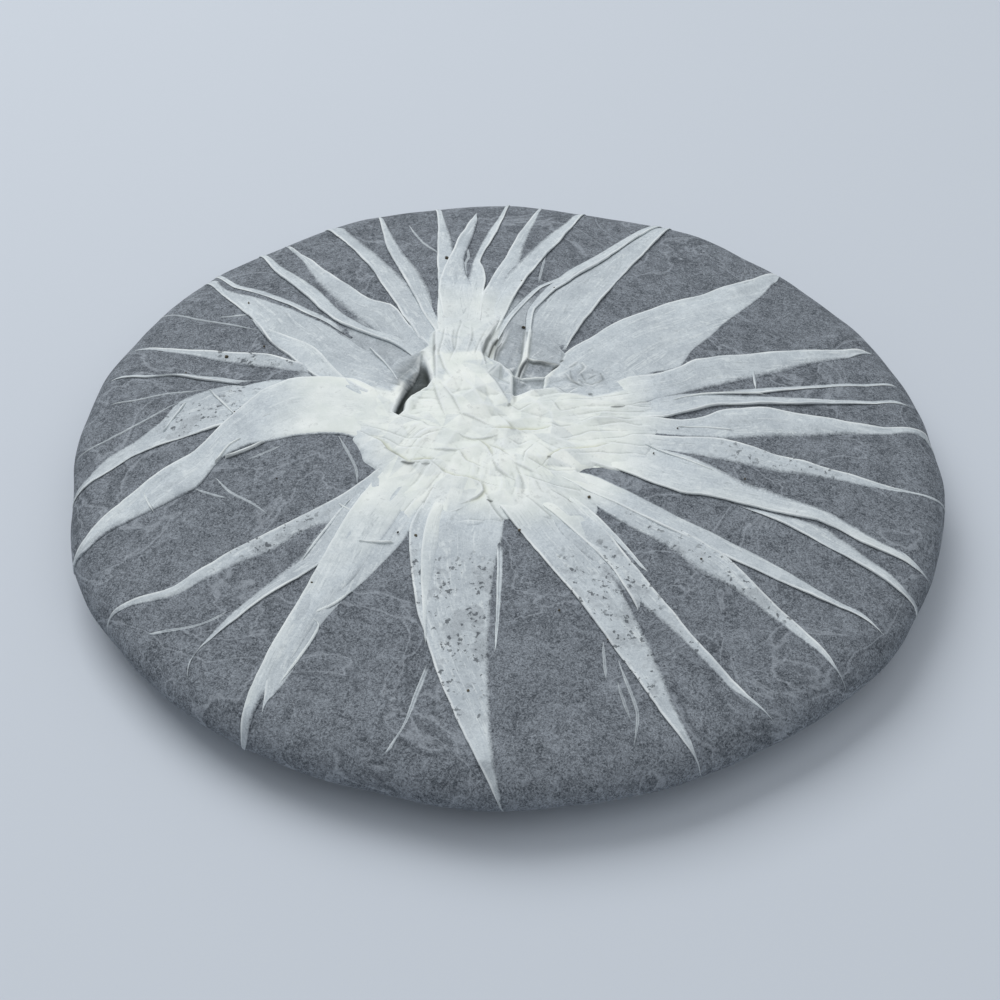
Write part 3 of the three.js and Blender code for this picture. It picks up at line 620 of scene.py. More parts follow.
def tea_crumbs():
    draw = np.random.default_rng(61)
    pieces = []
    for angle, r, size in CRUMBS:
        middle = on_wrap(np.array([float(r)]), np.radians([float(angle)]), 0.45)[0]
        deselect()
        bpy.ops.mesh.primitive_ico_sphere_add(subdivisions=2, radius=size / 2 * MM, location=middle * MM)
        crumb = added("crumb")
        bpy.ops.object.mode_set(mode="EDIT")
        bpy.ops.transform.resize(value=draw.uniform(0.6, 1.3, 3))
        bpy.ops.transform.rotate(value=draw.uniform(0, 3), orient_axis="Z", center_override=middle * MM)
        bpy.ops.transform.vertex_random(offset=0.12 * size * MM, seed=int(draw.integers(1, 99)))
        bpy.ops.object.mode_set(mode="OBJECT")
        bpy.ops.object.transform_apply(location=True, rotation=True, scale=True)
        pieces.append(crumb)
    return join("tea_crumbs", pieces)


# The gather: the crumpled mass in the middle, over the roots of the pleats

# How far out it reaches at each angle: in as far as the dark gaps between the pleats, and under their roots
GATHER_OUTLINE = [
    (0, 34), (14, 34), (26, 36), (40, 34), (52, 30), (60, 28), (75, 33), (88, 37), (95, 40), (110, 40), (118, 37), (125, 34), (140, 33),
    (155, 34), (168, 34), (182, 36), (196, 34), (206, 34), (213, 33), (222, 36), (233, 38), (241, 41), (247, 38),
    (256, 36), (264, 35), (270, 33), (276, 33), (284, 34), (294, 36), (301, 38), (308, 34), (310, 30), (311.5, 23.4),
    (318, 23.9), (322.4, 24.6), (326, 30), (328, 34), (345, 34),
]
GATHER_HALF = 41
GATHER_POINTS = 396

# Edges of sheets that lie over others: height of the step, how far it is felt, how strong the yellow-tinted painted
# shade in the hollow beside it is, how strongly its painted highlight and painted shade lines show, and the line, with
# the upper sheet on the left of its direction, or the right if the step is negative
GATHER_EDGES = [
    # The left bundle and the sheets in front of it
    (0.9, 3.0, 0.6, 1.0, [(-20, -16.2), (-21.5, -15.8), (-23, -14.5), (-26, -12), (-27.5, -9.5), (-30, -7.5)]),
    (0.6, 2.0, 0.7, 1.0, [(-16, -15.6), (-18, -15.4), (-20.5, -15.4)]),
    (0.5, 2.5, 0.0, 0.6, [(-15, -5), (-17.5, -4.6), (-19, -3), (-20, -2.5), (-22, -1.5), (-24, -0.3)]),
    (0.9, 3.0, 0.6, 0.8, [(-5.3, -22.2), (-8, -21.2), (-11, -20.6), (-13, -19.5), (-14.5, -18)]),
    (0.6, 1.5, 0.4, 0.8, [(-8, -27.8), (-6, -26.8), (-4.6, -25), (-5, -23), (-5.6, -22.4)]),
    (0.4, 2.0, 0.0, 0.3, [(-16, -12), (-13, -12.6), (-10, -12.2)]),
    (0.35, 2.0, 0.0, 0.4, [(-18, -9), (-22, -8), (-27, -5.5), (-31, -4)]),
    (0.3, 2.0, 0.0, 0.4, [(-19, -11.5), (-23, -11), (-27, -8), (-31, -7)]),
    # The front sheets
    (0.7, 2.5, 0.0, 1.0, [(9.5, -44), (5, -39.5), (1.5, -36), (-1.5, -32), (-3.2, -28.5), (-4, -26)]),
    (-0.5, 2.0, 0.1, 0.6, [(6, -15.5), (8.5, -17), (10, -18.2), (14, -18.1), (16, -17.7)]),
    (0.5, 2.5, 0.0, 0.4, [(16, -24.3), (11, -23), (8, -22), (5, -20.5)]),
    (-0.5, 2.0, 0.0, 0.8, [(6, -28), (9.5, -32), (13, -36), (17, -40)]),
    (0.45, 2.0, 0.0, 0.6, [(22, -36), (17, -31), (14.5, -28), (11, -25.5)]),
    (0.6, 2.0, 0.0, 1.0, [(-16, -24.5), (-18, -30), (-20, -36), (-21, -38)]),
    (-0.5, 2.0, 0.0, 0.8, [(-14.5, -29), (-16, -34), (-17.5, -38)]),
    (0.6, 1.5, 0.0, 0.8, [(-12.4, -37), (-11.8, -31.8), (-10.6, -30.8)]),
    (0.35, 1.5, 0.0, 0.5, [(-2, -35), (-7, -33.6), (-12, -34)]),
    (0.4, 2.0, 0.0, 0.5, [(-20, -28), (-22, -32), (-25, -37)]),
    (0.3, 2.0, 0.0, 0.3, [(2, -16), (4, -17.5), (6.5, -19)]),
    # The crumples in the middle
    (0.7, 2.0, 0.9, 0.8, [(9.5, -4.3), (5, -4.9), (1, -5.3), (-2, -5.0)]),
    (0.5, 1.5, 0.3, 0.6, [(3.5, -5.6), (1.5, -4.6), (0.3, -3)]),
    (0.4, 1.5, 0.2, 0.4, [(-9.5, -7.5), (-7, -8.6), (-5, -8.4), (-3, -7.4)]),
    (-0.4, 1.5, 0.4, 0.4, [(-6, -9), (-4, -11), (-3, -14)]),
    (0.4, 1.5, 0.3, 0.4, [(0, -13.4), (-1.5, -11.8), (-3, -10.5)]),
    (0.35, 1.5, 0.0, 0.4, [(5, -8.8), (3, -9.6), (1.5, -8.6)]),
    (-0.9, 2.5, 0.9, 0.9, [(9.8, -14.4), (11, -12.8), (12.5, -11.8), (16, -11), (20, -10), (22, -9)]),
    (0.5, 1.5, 0.0, 0.4, [(-2.4, -16), (-1.5, -18.5), (1, -20.5)]),
    (0.5, 1.5, 0.2, 0.4, [(-6, -17), (-8.5, -15.5), (-10, -13)]),
    (0.5, 1.5, 0.0, 0.4, [(6, -10.5), (4.6, -12.5), (4.2, -15)]),
    # The right fan
    (0.8, 2.0, 0.0, 1.0, [(12, 10.6), (9, 9.8), (5, 8.2), (1.4, 6.8)]),
    (0.4, 1.5, 0.0, 0.6, [(16, 11), (14, 8.8), (12, 10.4)]),
    (0.6, 2.0, 0.0, 0.9, [(36, 6.9), (31, 6.3), (29, 5.5), (27, 5), (24.5, 4.5)]),
    (-0.4, 1.5, 0.0, 0.5, [(28, 5), (32, 4.6), (36, 4.5)]),
    (0.5, 2.0, 0.0, 0.7, [(34, 0.8), (29, 0.5), (27, 0.2), (22, 0.3), (19.5, -0.3), (18.3, -1)]),
    (0.4, 2.0, 0.0, 0.6, [(35, -1.5), (30, -1.8), (27, -1), (24, -1.5), (21, -2.5)]),
    (0.4, 1.5, 0.0, 0.6, [(15, -3.3), (12.5, -3.9), (10, -3)]),
    (0.5, 2.0, 0.0, 0.7, [(35, -4.8), (28.5, -5), (26, -6.2), (23.5, -6.6)]),
    (-0.5, 2.0, 0.0, 0.7, [(24, -8), (27, -8.4), (30, -9), (34, -9.2)]),
    (0.35, 2.0, 0.0, 0.4, [(5.5, 3), (3, 1.6), (1.5, 2.5)]),
    (0.4, 2.0, 0.0, 0.4, [(15, 2.5), (12.5, 1.5), (11, 4)]),
    (0.35, 2.0, 0.0, 0.5, [(30, 10), (25, 8.6), (20, 7), (14, 5.5)]),
    (-0.35, 2.0, 0.0, 0.5, [(16, 0.5), (22, 2.4), (28, 2.8), (34, 3.0)]),
    (0.35, 2.0, 0.0, 0.5, [(34, -12.5), (28, -11.5), (22, -11.4), (16, -12.5)]),
    (0.35, 2.0, 0.0, 0.5, [(26, -3.9), (20, -4.6), (13, -7.2)]),
    (0.35, 2.0, 0.0, 0.5, [(35, 12.5), (30, 13.2), (25, 12.4)]),
    # The crumpled patch beside it
    (0.3, 0.8, 0.0, 0.7, [(17.6, 21.2), (18.5, 19.2), (17.1, 16.8)]),
    (0.3, 0.8, 0.0, 0.6, [(19.9, 23), (21.5, 21), (21, 18.5)]),
    (-0.3, 0.8, 0.0, 0.6, [(22, 22), (23.5, 20.6), (23.2, 18.2)]),
    (0.3, 0.8, 0.0, 0.6, [(14.1, 15.7), (15.3, 13.7), (17.5, 13)]),
    (-0.3, 0.8, 0.0, 0.6, [(18.3, 13.7), (20, 12.8), (21.8, 14.5)]),
    (0.3, 0.8, 0.0, 0.5, [(14.9, 18.6), (16, 20), (16.8, 21.2)]),
    # The bundle behind the bulb
    (0.9, 2.0, 0.0, 1.0, [(-17.0, 33), (-16.9, 27), (-16.7, 21), (-16.2, 13)]),
    (0.3, 1.2, 0.0, 0.45, [(-14.6, 35), (-14.8, 28), (-15.6, 21), (-14.2, 15), (-12.8, 11.5)]),
    (-0.2, 1.2, 0.0, 0.35, [(-12.6, 33), (-12.9, 27), (-12.3, 21.5)]),
    (0.25, 1.2, 0.0, 0.4, [(-10.6, 36), (-11.5, 29), (-11.6, 24), (-13, 17.5)]),
    (-0.2, 1.2, 0.0, 0.3, [(-8.4, 34), (-8.2, 27), (-9.3, 20.5)]),
    (0.25, 1.2, 0.0, 0.35, [(-4.6, 31), (-6.2, 25), (-7.2, 19.5)]),
    (1.2, 2.0, 0.0, 1.0, [(-5.0, 18), (-5.6, 22), (-4.2, 28), (-2.4, 34)]),
    (-0.6, 0.8, 0.0, 1.0, [(-3.4, 19), (-2.9, 23), (-1.5, 28), (-0.2, 33)]),
    (0.6, 0.8, 0.0, 0.8, [(-2.6, 19), (-2.0, 23), (-0.5, 28), (0.8, 33)]),
    (-0.6, 0.8, 0.0, 1.0, [(2.2, 13), (3.7, 20), (4.2, 27), (4.7, 34)]),
    (0.6, 0.8, 0.0, 1.0, [(3.3, 13), (5.0, 20), (5.5, 27), (6.0, 34)]),
    # The bulb's left side and the flap's inner fold
    (0.35, 1.5, 0.0, 0.35, [(-16.4, 9.5), (-15.6, 6), (-14.8, 3.4), (-14, 0.5)]),
    (0.3, 1.5, 0.0, 0.35, [(-14.4, 8.8), (-13, 6.4), (-12, 4.6), (-11, 2), (-10, -0.6)]),
    (0.3, 1.2, 0.0, 0.4, [(-10, -0.6), (-7, -2), (-4, -3.4)]),
    (-0.3, 1.0, 0.0, 0.5, [(-4.2, 12.8), (-2.5, 10.2), (-1.3, 7.6), (0, 4.8)]),
    (0.2, 1.0, 0.0, 0.35, [(-4.2, 12.8), (-2.4, 16)]),
]

# The crevice left of the bulb, as its outline, and its depth; painted shade makes it dark
CREVICE = [(-19.8, 22.4), (-18.2, 17.6), (-17.3, 13.8), (-17, 11.6), (-18.2, 9.4), (-19.4, 8.9), (-21.8, 6.9),
           (-22.6, 4.6), (-22.9, 1.8), (-24.2, 0.2), (-25.6, 1.6), (-25.1, 4), (-24.3, 7), (-23.4, 9.6),
           (-24.4, 13.4), (-23.2, 15.4), (-21.6, 17.4)]
CREVICE_DEPTH = 2.2
GATHER_FLOOR = -0.7
# Painted shadow lines where sheets part: how dark, half width and line
GATHER_SHADOWS = [
    (0.4, 2.4, [(-25, 11), (-24, 15), (-21.6, 19.5), (-19.6, 24)]),
    (0.55, 1.3, [(-23.9, 5.5), (-23, 9), (-22.4, 13), (-20.5, 16.5)]),
    (1.0, 0.4, [(24.0, 4.2), (25.5, 4.5), (27.4, 4.9)]), (0.9, 0.35, [(13.6, -27.2), (14.4, -27.9), (15.2, -28.5)]),
    (0.9, 0.4, [(-3.9, -27.6), (-3.2, -27.9), (-2.5, -28)]), (0.9, 0.5, [(-23, -16), (-21.4, -16.5), (-19.8, -16.3)]),
    (0.5, 0.35, [(-19, -15.3), (-17.8, -15.2)]), (0.6, 0.35, [(-18.5, -16.9), (-16.5, -16.9)]),
    (0.75, 0.45, [(4.9, 20.8), (6.4, 19.9), (9, 19.6), (12.4, 19.3)]), (0.8, 0.5, [(10.6, 17.6), (11.6, 18.5), (12.6, 19.2)]),
    (0.8, 0.4, [(2.9, 14.2), (3.6, 17), (4.9, 20.4)]), (1.0, 0.45, [(-4.3, 20.6), (-3.6, 24), (-2.4, 28), (-0.8, 32)]),
    (0.8, 0.35, [(-2.8, 20), (-2.3, 24), (-1, 28)]), (0.5, 0.3, [(-5.4, 22), (-4.8, 26), (-3.6, 30)]),
    (0.9, 0.35, [(31.6, 15.3), (33, 15.8), (34.6, 16)]), (0.8, 0.5, [(9.3, -14.2), (10.2, -14.5)]),
    (0.7, 0.5, [(19, 8.6), (20, 9.4)]), (0.8, 0.4, [(12.8, 20.4), (13.5, 21.4)]), (0.5, 0.3, [(-17, 25.5), (-16.6, 22)]),
    (0.6, 0.4, [(0.5, 2.2), (1.1, 3.4)]), (0.5, 0.5, [(-27, -11.5), (-25, -12.6), (-23, -14.4)]),
    (0.45, 0.3, [(29, 5.6), (31, 6.3), (35, 6.7)]), (0.45, 0.4, [(1, -5.5), (2.6, -5.3)]),
    (0.45, 0.35, [(22, 17.5), (22.6, 15), (21, 13.4)]), (0.4, 0.35, [(15, 17.5), (15.4, 14), (18, 12.2)]),
    (0.4, 0.3, [(20.5, 19.4), (23, 19.6)]), (0.45, 0.25, [(19, 15), (21, 16.6)]), (0.45, 0.25, [(17.4, 17), (18.6, 14.2)]),
    (0.4, 0.25, [(16.8, 14.8), (18, 13.4)]), (0.45, 0.25, [(19, 21.5), (20.4, 19.6), (20.2, 18)]),
]

# Where the gather is fewer layers deep, or greyed with painted shade, and lies lower: layers, drop, how far the
# change takes and the outline
GATHER_PATCHES = [
    (0.72, 0.3, 3.0, [(-41, 18), (-32, 12.6), (-26.5, 9.5), (-24, 13), (-20, 19), (-21, 30), (-30, 34), (-42, 26)]),
    (0.95, 0.25, 1.6, [(8.7, 9.8), (11, 10.6), (13, 8.8), (20, 8), (27, 11), (34, 13.5), (42, 14), (42, 26), (22, 32),
                      (14, 27), (12, 19)]),
    (0.5, 0.3, 0.6, [(-3.2, 20.4), (0, 16.6), (2, 14.2), (3.8, 21.4), (5, 30), (6, 40), (0, 40), (-1.6, 29)]),
    (0.62, 0.2, 0.8, [(5.4, 21), (8, 20), (12.6, 19.2), (14, 24), (12, 27.5), (16, 36), (6.5, 40), (5.8, 30)]),
    # The low pocket right of the bulb, greyed as painted shade
    (0.22, 0.9, 0.5, [(2.4, 13.6), (3.4, 17), (4.9, 20.6), (7.5, 19.8), (12.2, 18.8), (10.4, 16), (8.9, 13.6)]),
    # A flat facet below it, greyed as painted shade
    (0.5, 0.7, 0.4, [(1.7, 6.7), (1.7, 13), (9, 13.2), (8.6, 9.4)]),
    (0.78, 0.1, 3.0, [(13.6, 18), (19, 19), (24, 18.5), (25.5, 15.5), (22, 12.6), (18, 11), (13.8, 12.6)]),
    (1.42, 0.0, 3.0, [(-26, -1), (-36, -6), (-42, -2), (-42, 14), (-34, 11), (-27, 7), (-25.5, 3)]),
    (1.4, 0.0, 3.0, [(-22, -15), (-28, -21), (-33, -30), (-36, -36), (-26, -42), (-22, -36), (-17, -26), (-15, -18)]),
    (1.4, 0.0, 0.6, [(-17.2, -41), (-17, -36), (-15, -27), (-12, -25.5), (-12.6, -33), (-13, -41)]),
    (1.12, 0.0, 0.5, [(-5, 20), (-1.3, 17.5), (1.4, 13.8), (1.6, 6.5), (0.9, 2.6), (0, 5), (-1.4, 7.6), (-2.6, 10.4),
                      (-4.2, 12.8), (-2.6, 16)]),
    # Painted shade along the bulb's top edge
    (1.2, 0.0, 1.2, [(-9.5, 16.8), (-6.4, 15), (-4.2, 12.8), (-2.6, 16), (-5, 18)]),
    (1.19, 0.0, 2.0, [(-17.5, 21), (-4.4, 21), (-2, 30), (-2, 44), (-18, 44)]),
    (1.2, 0.0, 1.0, [(-16.8, 12), (-14.4, 10), (-14, 14), (-15.2, 20), (-16.8, 20)]),
]

# The gather's listed corners: how high it stands over the cake at each place, as (x, y, height). Flat facets
# lie between them: those of the bulb, the flap down its right side and the foot of the bundle behind it
GATHER_CORNERS = [
    (-14, 14.5, 3.0), (-10.5, 16, 3.25), (-6.2, 14.8, 3.25), (-4, 12.3, 3.25), (-2.2, 9.8, 3.05),
    (-1, 6, 2.75), (0, 3.2, 2.3), (0.4, -0.4, 1.7), (-4, -3.6, 1.65), (-7.5, -2.2, 2.0), (-10, -0.8, 2.3),
    (-11.6, 2.6, 2.75), (-12.8, 5.4, 2.9), (-14, 8.4, 3.0), (-7.2, 6.6, 3.6), (-5, 2, 3.05), (-9.6, 10.8, 3.5),
    (-4.6, 8.5, 3.4), (-10, 4.5, 3.3), (-7, 12, 3.45), (-7.6, 1.2, 2.9), (-2.6, 1.6, 2.5), (-12.2, 11.5, 3.3),
    (-4.7, 20.2, 2.6), (-2.6, 18.2, 2.6), (-1.1, 17.2, 2.5), (0.6, 14.6, 2.3), (1.4, 13.4, 2.2), (1.5, 9.5, 2.1),
    (1.5, 6.6, 2.0), (1.3, 4, 1.9), (0.9, 2.4, 1.8),
    (-3.8, 20.9, 0.5), (-0.4, 18.0, 0.4), (2.2, 14.0, 0.4), (2.2, 9.5, 0.5), (2.1, 6.8, 1.0), (1.9, 3.8, 1.5),
    (-16.6, 9.2, 2.3), (-15.8, 6.2, 2.2), (-15, 2.8, 2.0), (-13.4, -0.6, 1.8), (-17.2, 12, 2.2), (-17.6, 16, 2.0),
    (-16.2, 13, 2.7), (-17.4, 20, 1.9), (-14.6, 20, 2.9), (-11.4, 20.5, 3.0), (-8, 20.6, 3.0), (-6, 20.6, 2.8),
    (-17, 26, 1.4), (-13.4, 27, 2.4), (-10, 27, 2.5), (-6.4, 27, 2.3), (-3.8, 27, 1.6), (-2.9, 27, 0.5),
]
# Where the long folds run together
FAN_X, FAN_Y = -3, -1
# Rings of scattered corners round it: distance, gap between corners and how far they rise and fall
GATHER_RINGS = [(0.5, 3, 0.2), (4, 3.2, 0.6), (7, 3.0, 0.65), (10.5, 3.0, 0.65), (14.5, 3.2, 0.6), (19, 3.2, 0.5),
                (24.5, 3.0, 0.35), (31, 3.0, 0.25), (39, 3.5, 0.2), (50, 9, 0.0)]


def beside(x, y, line, reach, steps=28):
    """Distance from a smooth line, more than nothing on its left, and how far along it, near the line only."""
    path = smooth_path(line, np.linspace(0, 1, steps), 0.6)
    close = (x > path[:, 0].min() - reach) & (x < path[:, 0].max() + reach)
    close &= (y > path[:, 1].min() - reach) & (y < path[:, 1].max() + reach)
    near_x, near_y = x[close], y[close]
    nearest, along, side = np.full(near_x.shape, 1e3), np.zeros(near_x.shape), np.ones(near_x.shape)
    for i, ((ax, ay), (bx, by)) in enumerate(zip(path, path[1:])):
        dx, dy = bx - ax, by - ay
        share = np.clip(((near_x - ax) * dx + (near_y - ay) * dy) / (dx * dx + dy * dy), 0, 1)
        away = np.hypot(near_x - ax - share * dx, near_y - ay - share * dy)
        better = away < nearest
        nearest = np.where(better, away, nearest)
        along = np.where(better, (i + share) / (steps - 1), along)
        left = dx * (near_y - ay) - dy * (near_x - ax) >= 0
        side = np.where(better, np.where(left, 1.0, -1.0), side)
    away, share = np.full(x.shape, 1e3), np.zeros(x.shape)
    away[close], share[close] = nearest * side, along
    return away, share


def within(x, y, outline):
    """How far inside a closed outline points are, less than nothing outside it."""
    nearest, inside = np.full(x.shape, 1e3), np.zeros(x.shape, bool)
    for (ax, ay), (bx, by) in zip(outline, outline[1:] + outline[:1]):
        dx, dy = bx - ax, by - ay
        share = np.clip(((x - ax) * dx + (y - ay) * dy) / (dx * dx + dy * dy), 0, 1)
        nearest = np.minimum(nearest, np.hypot(x - ax - share * dx, y - ay - share * dy))
        if ay != by:
            inside ^= ((ay > y) != (by > y)) & (x < ax + (y - ay) * dx / dy)
    return np.where(inside, nearest, -nearest)


def facets(x, y, corners):
    """Heights at points on flat facets between corners, and a number of its own for each facet."""
    flat = [Vector(corner[:2]) for corner in corners]
    places, _, faces, sources, _, _ = geometry.delaunay_2d_cdt(flat, [], [], 0, 1e-4)
    levels = [corners[source[0]][2] for source in sources]
    draw = np.random.default_rng(71)
    height, tone = np.zeros(x.shape), np.zeros(x.shape)
    for one, two, three in faces:
        (ax, ay), (bx, by), (cx, cy) = places[one], places[two], places[three]
        own = draw.uniform(-1, 1)
        close = (x >= min(ax, bx, cx)) & (x <= max(ax, bx, cx)) & (y >= min(ay, by, cy)) & (y <= max(ay, by, cy))
        at = np.flatnonzero(close)
        area = (bx - ax) * (cy - ay) - (cx - ax) * (by - ay)
        share_b = ((x[at] - ax) * (cy - ay) - (cx - ax) * (y[at] - ay)) / area
        share_c = ((bx - ax) * (y[at] - ay) - (x[at] - ax) * (by - ay)) / area
        share_a = 1 - share_b - share_c
        inside = (share_a >= 0) & (share_b >= 0) & (share_c >= 0)
        at = at[inside]
        level = share_a * levels[one] + share_b * levels[two] + share_c * levels[three]
        height[at], tone[at] = level[inside], own
    return height, tone


def gather_corners():
    """The listed corners, and scattered ones in rings round them."""
    draw = np.random.default_rng(23)
    corners = list(GATHER_CORNERS)
    placed = np.array(GATHER_CORNERS)[:, :2]
    for distance, gap, swing in GATHER_RINGS:
        count = max(3, int(2 * math.pi * distance / gap))
        start = draw.uniform(0, 1)
        for i in range(count):
            turn = 2 * math.pi * (i + start + draw.uniform(-0.28, 0.28)) / count
            reach = distance + draw.uniform(-1.3, 1.3) * min(1, distance / 6)
            px, py = FAN_X + reach * math.cos(turn), FAN_Y + reach * math.sin(turn)
            rise = plateau(reach) + swing * draw.uniform(-1, 1)
            in_bundle = -17.5 < px < -2 and py > 8
            if np.hypot(placed[:, 0] - px, placed[:, 1] - py).min() > 2.2 and not in_bundle:
                corners.append((px, py, float(rise)))
    return corners


def plateau(near):
    """How high the gather stands over the cake at a distance from where the folds run together."""
    return 0.25 + 1.5 * smoothstep(34, 13, near)


def hollowness(surface, reach):
    """How much lower each point of a grid of heights lies than those around it."""
    around = sum(np.roll(surface, shift, axis) for axis in (0, 1) for shift in (-reach, reach)) / 4
    return around - surface


def whiteness(r, start=42.0):
    """How far the many layers of the gather show at a distance from the axis."""
    return smoothstep(start, start - 20, r)


def tissue_gather():
    piece, column, row = grid("tissue_gather", GATHER_POINTS, GATHER_POINTS)
    x = GATHER_HALF * (2 * column / (GATHER_POINTS - 1) - 1)
    y = GATHER_HALF * (2 * row / (GATHER_POINTS - 1) - 1)
    r, angle = np.hypot(x, y), np.arctan2(y, x)
    turns = [at for at, _ in GATHER_OUTLINE] + [360]
    limits = [limit for _, limit in GATHER_OUTLINE] + [GATHER_OUTLINE[0][1]]
    edge = np.interp(np.degrees(angle) % 360, turns, limits) + 0.5 * ripple(x, y, 7, 31)
    inside = edge - r
    # Long folds run in towards the foot of the bulb and break up into facets there
    towards, near = np.arctan2(y - FAN_Y, x - FAN_X), np.hypot(x - FAN_X, y - FAN_Y)
    sway = 0.08 * ripple(x, y, 30, 3) + 0.02 * ripple(x, y, 9, 4)
    flow = 0.45 * triangle_wave(17 * (towards + sway)) + 0.3 * triangle_wave(37 * (towards + 0.9 * sway))
    flow = (flow + 0.2 * triangle_wave(61 * (towards + 1.1 * sway))) * (0.5 + 0.5 * ripple(towards * 9, near / 3, 5, 14))
    level, tone = facets(x, y, gather_corners())
    for _ in range(4):
        surface = np.zeros((GATHER_POINTS, GATHER_POINTS))
        surface[row, column] = level
        level = level + 0.8 * hollowness(surface, 1)[row, column]
    bulb = smoothstep(2.6, 1.0, np.hypot((x + 7.3) / 3.8, (y - 6.5) / 5.2)) + smoothstep(12, 16, y) * (x < 2)
    height = level + 0.3 * flow * smoothstep(9, 20, near) * smoothstep(0, 8, inside) * (1 - bulb.clip(0, 1))
    fine = 0.05 * ripple(x, y, 3.0, 23, 5, triangle_wave)
    height = height + fine
    hollow = np.zeros(x.shape)
    layers = 0.9 + 0.6 * whiteness(r) + 0.2 * tone * smoothstep(34, 20, near)
    for thin, drop, reach, outline in GATHER_PATCHES:
        share = smoothstep(-reach / 2, reach / 2, within(x, y, outline))
        layers = layers + (thin + 0.1 * tone - layers) * share
        height = height - drop * share
    ridge, shade = np.zeros(x.shape), np.zeros(x.shape)
    for step, reach, yellow, clear, line in GATHER_EDGES:
        away, along = beside(x, y, line, 3 * reach)
        away = away * np.sign(step)
        taper = np.sqrt(np.clip(np.sin(math.pi * np.clip(along, 0.02, 0.98)), 0, 1))
        taper = taper * smoothstep(3 * reach, 2 * reach, np.abs(away))
        height = height + 0.5 * abs(step) * taper * np.clip(away / 0.15, -1, 1) * np.exp(-np.abs(away) / reach)
        # Beside each step are painted: shade with a yellow tint in the hollow below it, a highlight on the upper
        # sheet's lip and a grey shade line at its foot
        hollow = np.maximum(hollow, yellow * taper * smoothstep(0.1, -0.2, away) * smoothstep(-1.4, -0.2, away))
        ridge = np.maximum(ridge, clear * taper * np.exp(-((away - 0.2) / 0.25) ** 2))
        shade = np.maximum(shade, clear * taper * np.exp(-((away + 0.25) / 0.3) ** 2))
    upper = smoothstep(-18, -22, x) * smoothstep(9, 14, y)
    gap = CREVICE_DEPTH * np.clip((within(x, y, CREVICE) + 0.25) / (1.3 + 3 * upper), 0, 1) ** 1.3
    height = np.maximum(np.maximum(height, 0.15) - gap, GATHER_FLOOR) - 1.2 * smoothstep(1.0, -1.5, inside)
    # Painted light and shade from the surface's bend: convex creases get a painted highlight and concave ones a painted
    # grey shade
    surface = np.zeros((GATHER_POINTS, GATHER_POINTS))
    surface[row, column] = height
    bend = hollowness(surface, 2)[row, column] * smoothstep(0.2, 2, inside)
    ridge = np.maximum(ridge, 0.8 * smoothstep(0.004, 0.04, -bend))
    shade = np.maximum(shade, 0.6 * smoothstep(0.004, 0.05, bend))
    # Painted shade down the crevice, weaker at its upper left
    gloom = smoothstep(0.2, 1.6, gap) * (1 - 0.4 * upper)
    # Painted shadow lines where sheets part
    for dark, half, line in GATHER_SHADOWS:
        away, along = beside(x, y, line, 4 * half)
        taper = 0.25 + 0.75 * np.sin(math.pi * np.clip(along, 0, 1))
        beyond = smoothstep(0, 0.02, along) * smoothstep(1, 0.98, along)
        gloom = np.maximum(gloom, dark * beyond * np.exp(-((away / (half * taper)) ** 2)))
    points = np.stack([x, y, on_wrap(r, angle)[:, 2] + height], -1)
    # The layers are cut down the crevice, painting it dark grey as shade
    shape(piece, points, layers=layers * (1 - 0.9 * smoothstep(0.1, 1.5, gap)), fade=1.0, hollow=hollow,
          ridge=ridge, shade=shade, gloom=gloom)
    flow_map(piece, np.degrees(towards) / 25, near / 10)
    deselect()
    piece.select_set(True)
    bpy.ops.object.mode_set(mode="EDIT")
    bpy.ops.mesh.select_mode(type="VERT")
    bpy.ops.mesh.select_all(action="DESELECT")
    bpy.ops.object.mode_set(mode="OBJECT")
    piece.data.vertices.foreach_set("select", inside < -1.6)
    bpy.ops.object.mode_set(mode="EDIT")
    bpy.ops.mesh.delete(type="VERT")
    bpy.ops.object.mode_set(mode="OBJECT")
    return piece


# Materials


class Wire:
    """A number, colour or vector in a material, worked out with ordinary operators."""

    def __init__(self, finish, socket):
        self.finish, self.socket = finish, socket

    def _math(self, operation, *values):
        return self.finish.node("ShaderNodeMath", {"operation": operation}, dict(enumerate(values)))

    def __add__(self, other):
        return self._math("ADD", self, other)

    def __radd__(self, other):
        return self._math("ADD", other, self)

    def __sub__(self, other):
        return self._math("SUBTRACT", self, other)

    def __rsub__(self, other):
        return self._math("SUBTRACT", other, self)

    def __mul__(self, other):
        return self._math("MULTIPLY", self, other)

    def __rmul__(self, other):
        return self._math("MULTIPLY", other, self)

    def above(self, low, high):
        """0 below low, 1 above high and smooth between."""
        return self.finish.node("ShaderNodeMapRange", {"interpolation_type": "SMOOTHSTEP"}, {0: self, 1: low, 2: high})

    def size(self):
        """Its distance from nothing."""
        return self._math("ABSOLUTE", self)

    def kept(self):
        """Kept between 0 and 1."""
        return self.finish.node("ShaderNodeClamp", {}, {0: self})


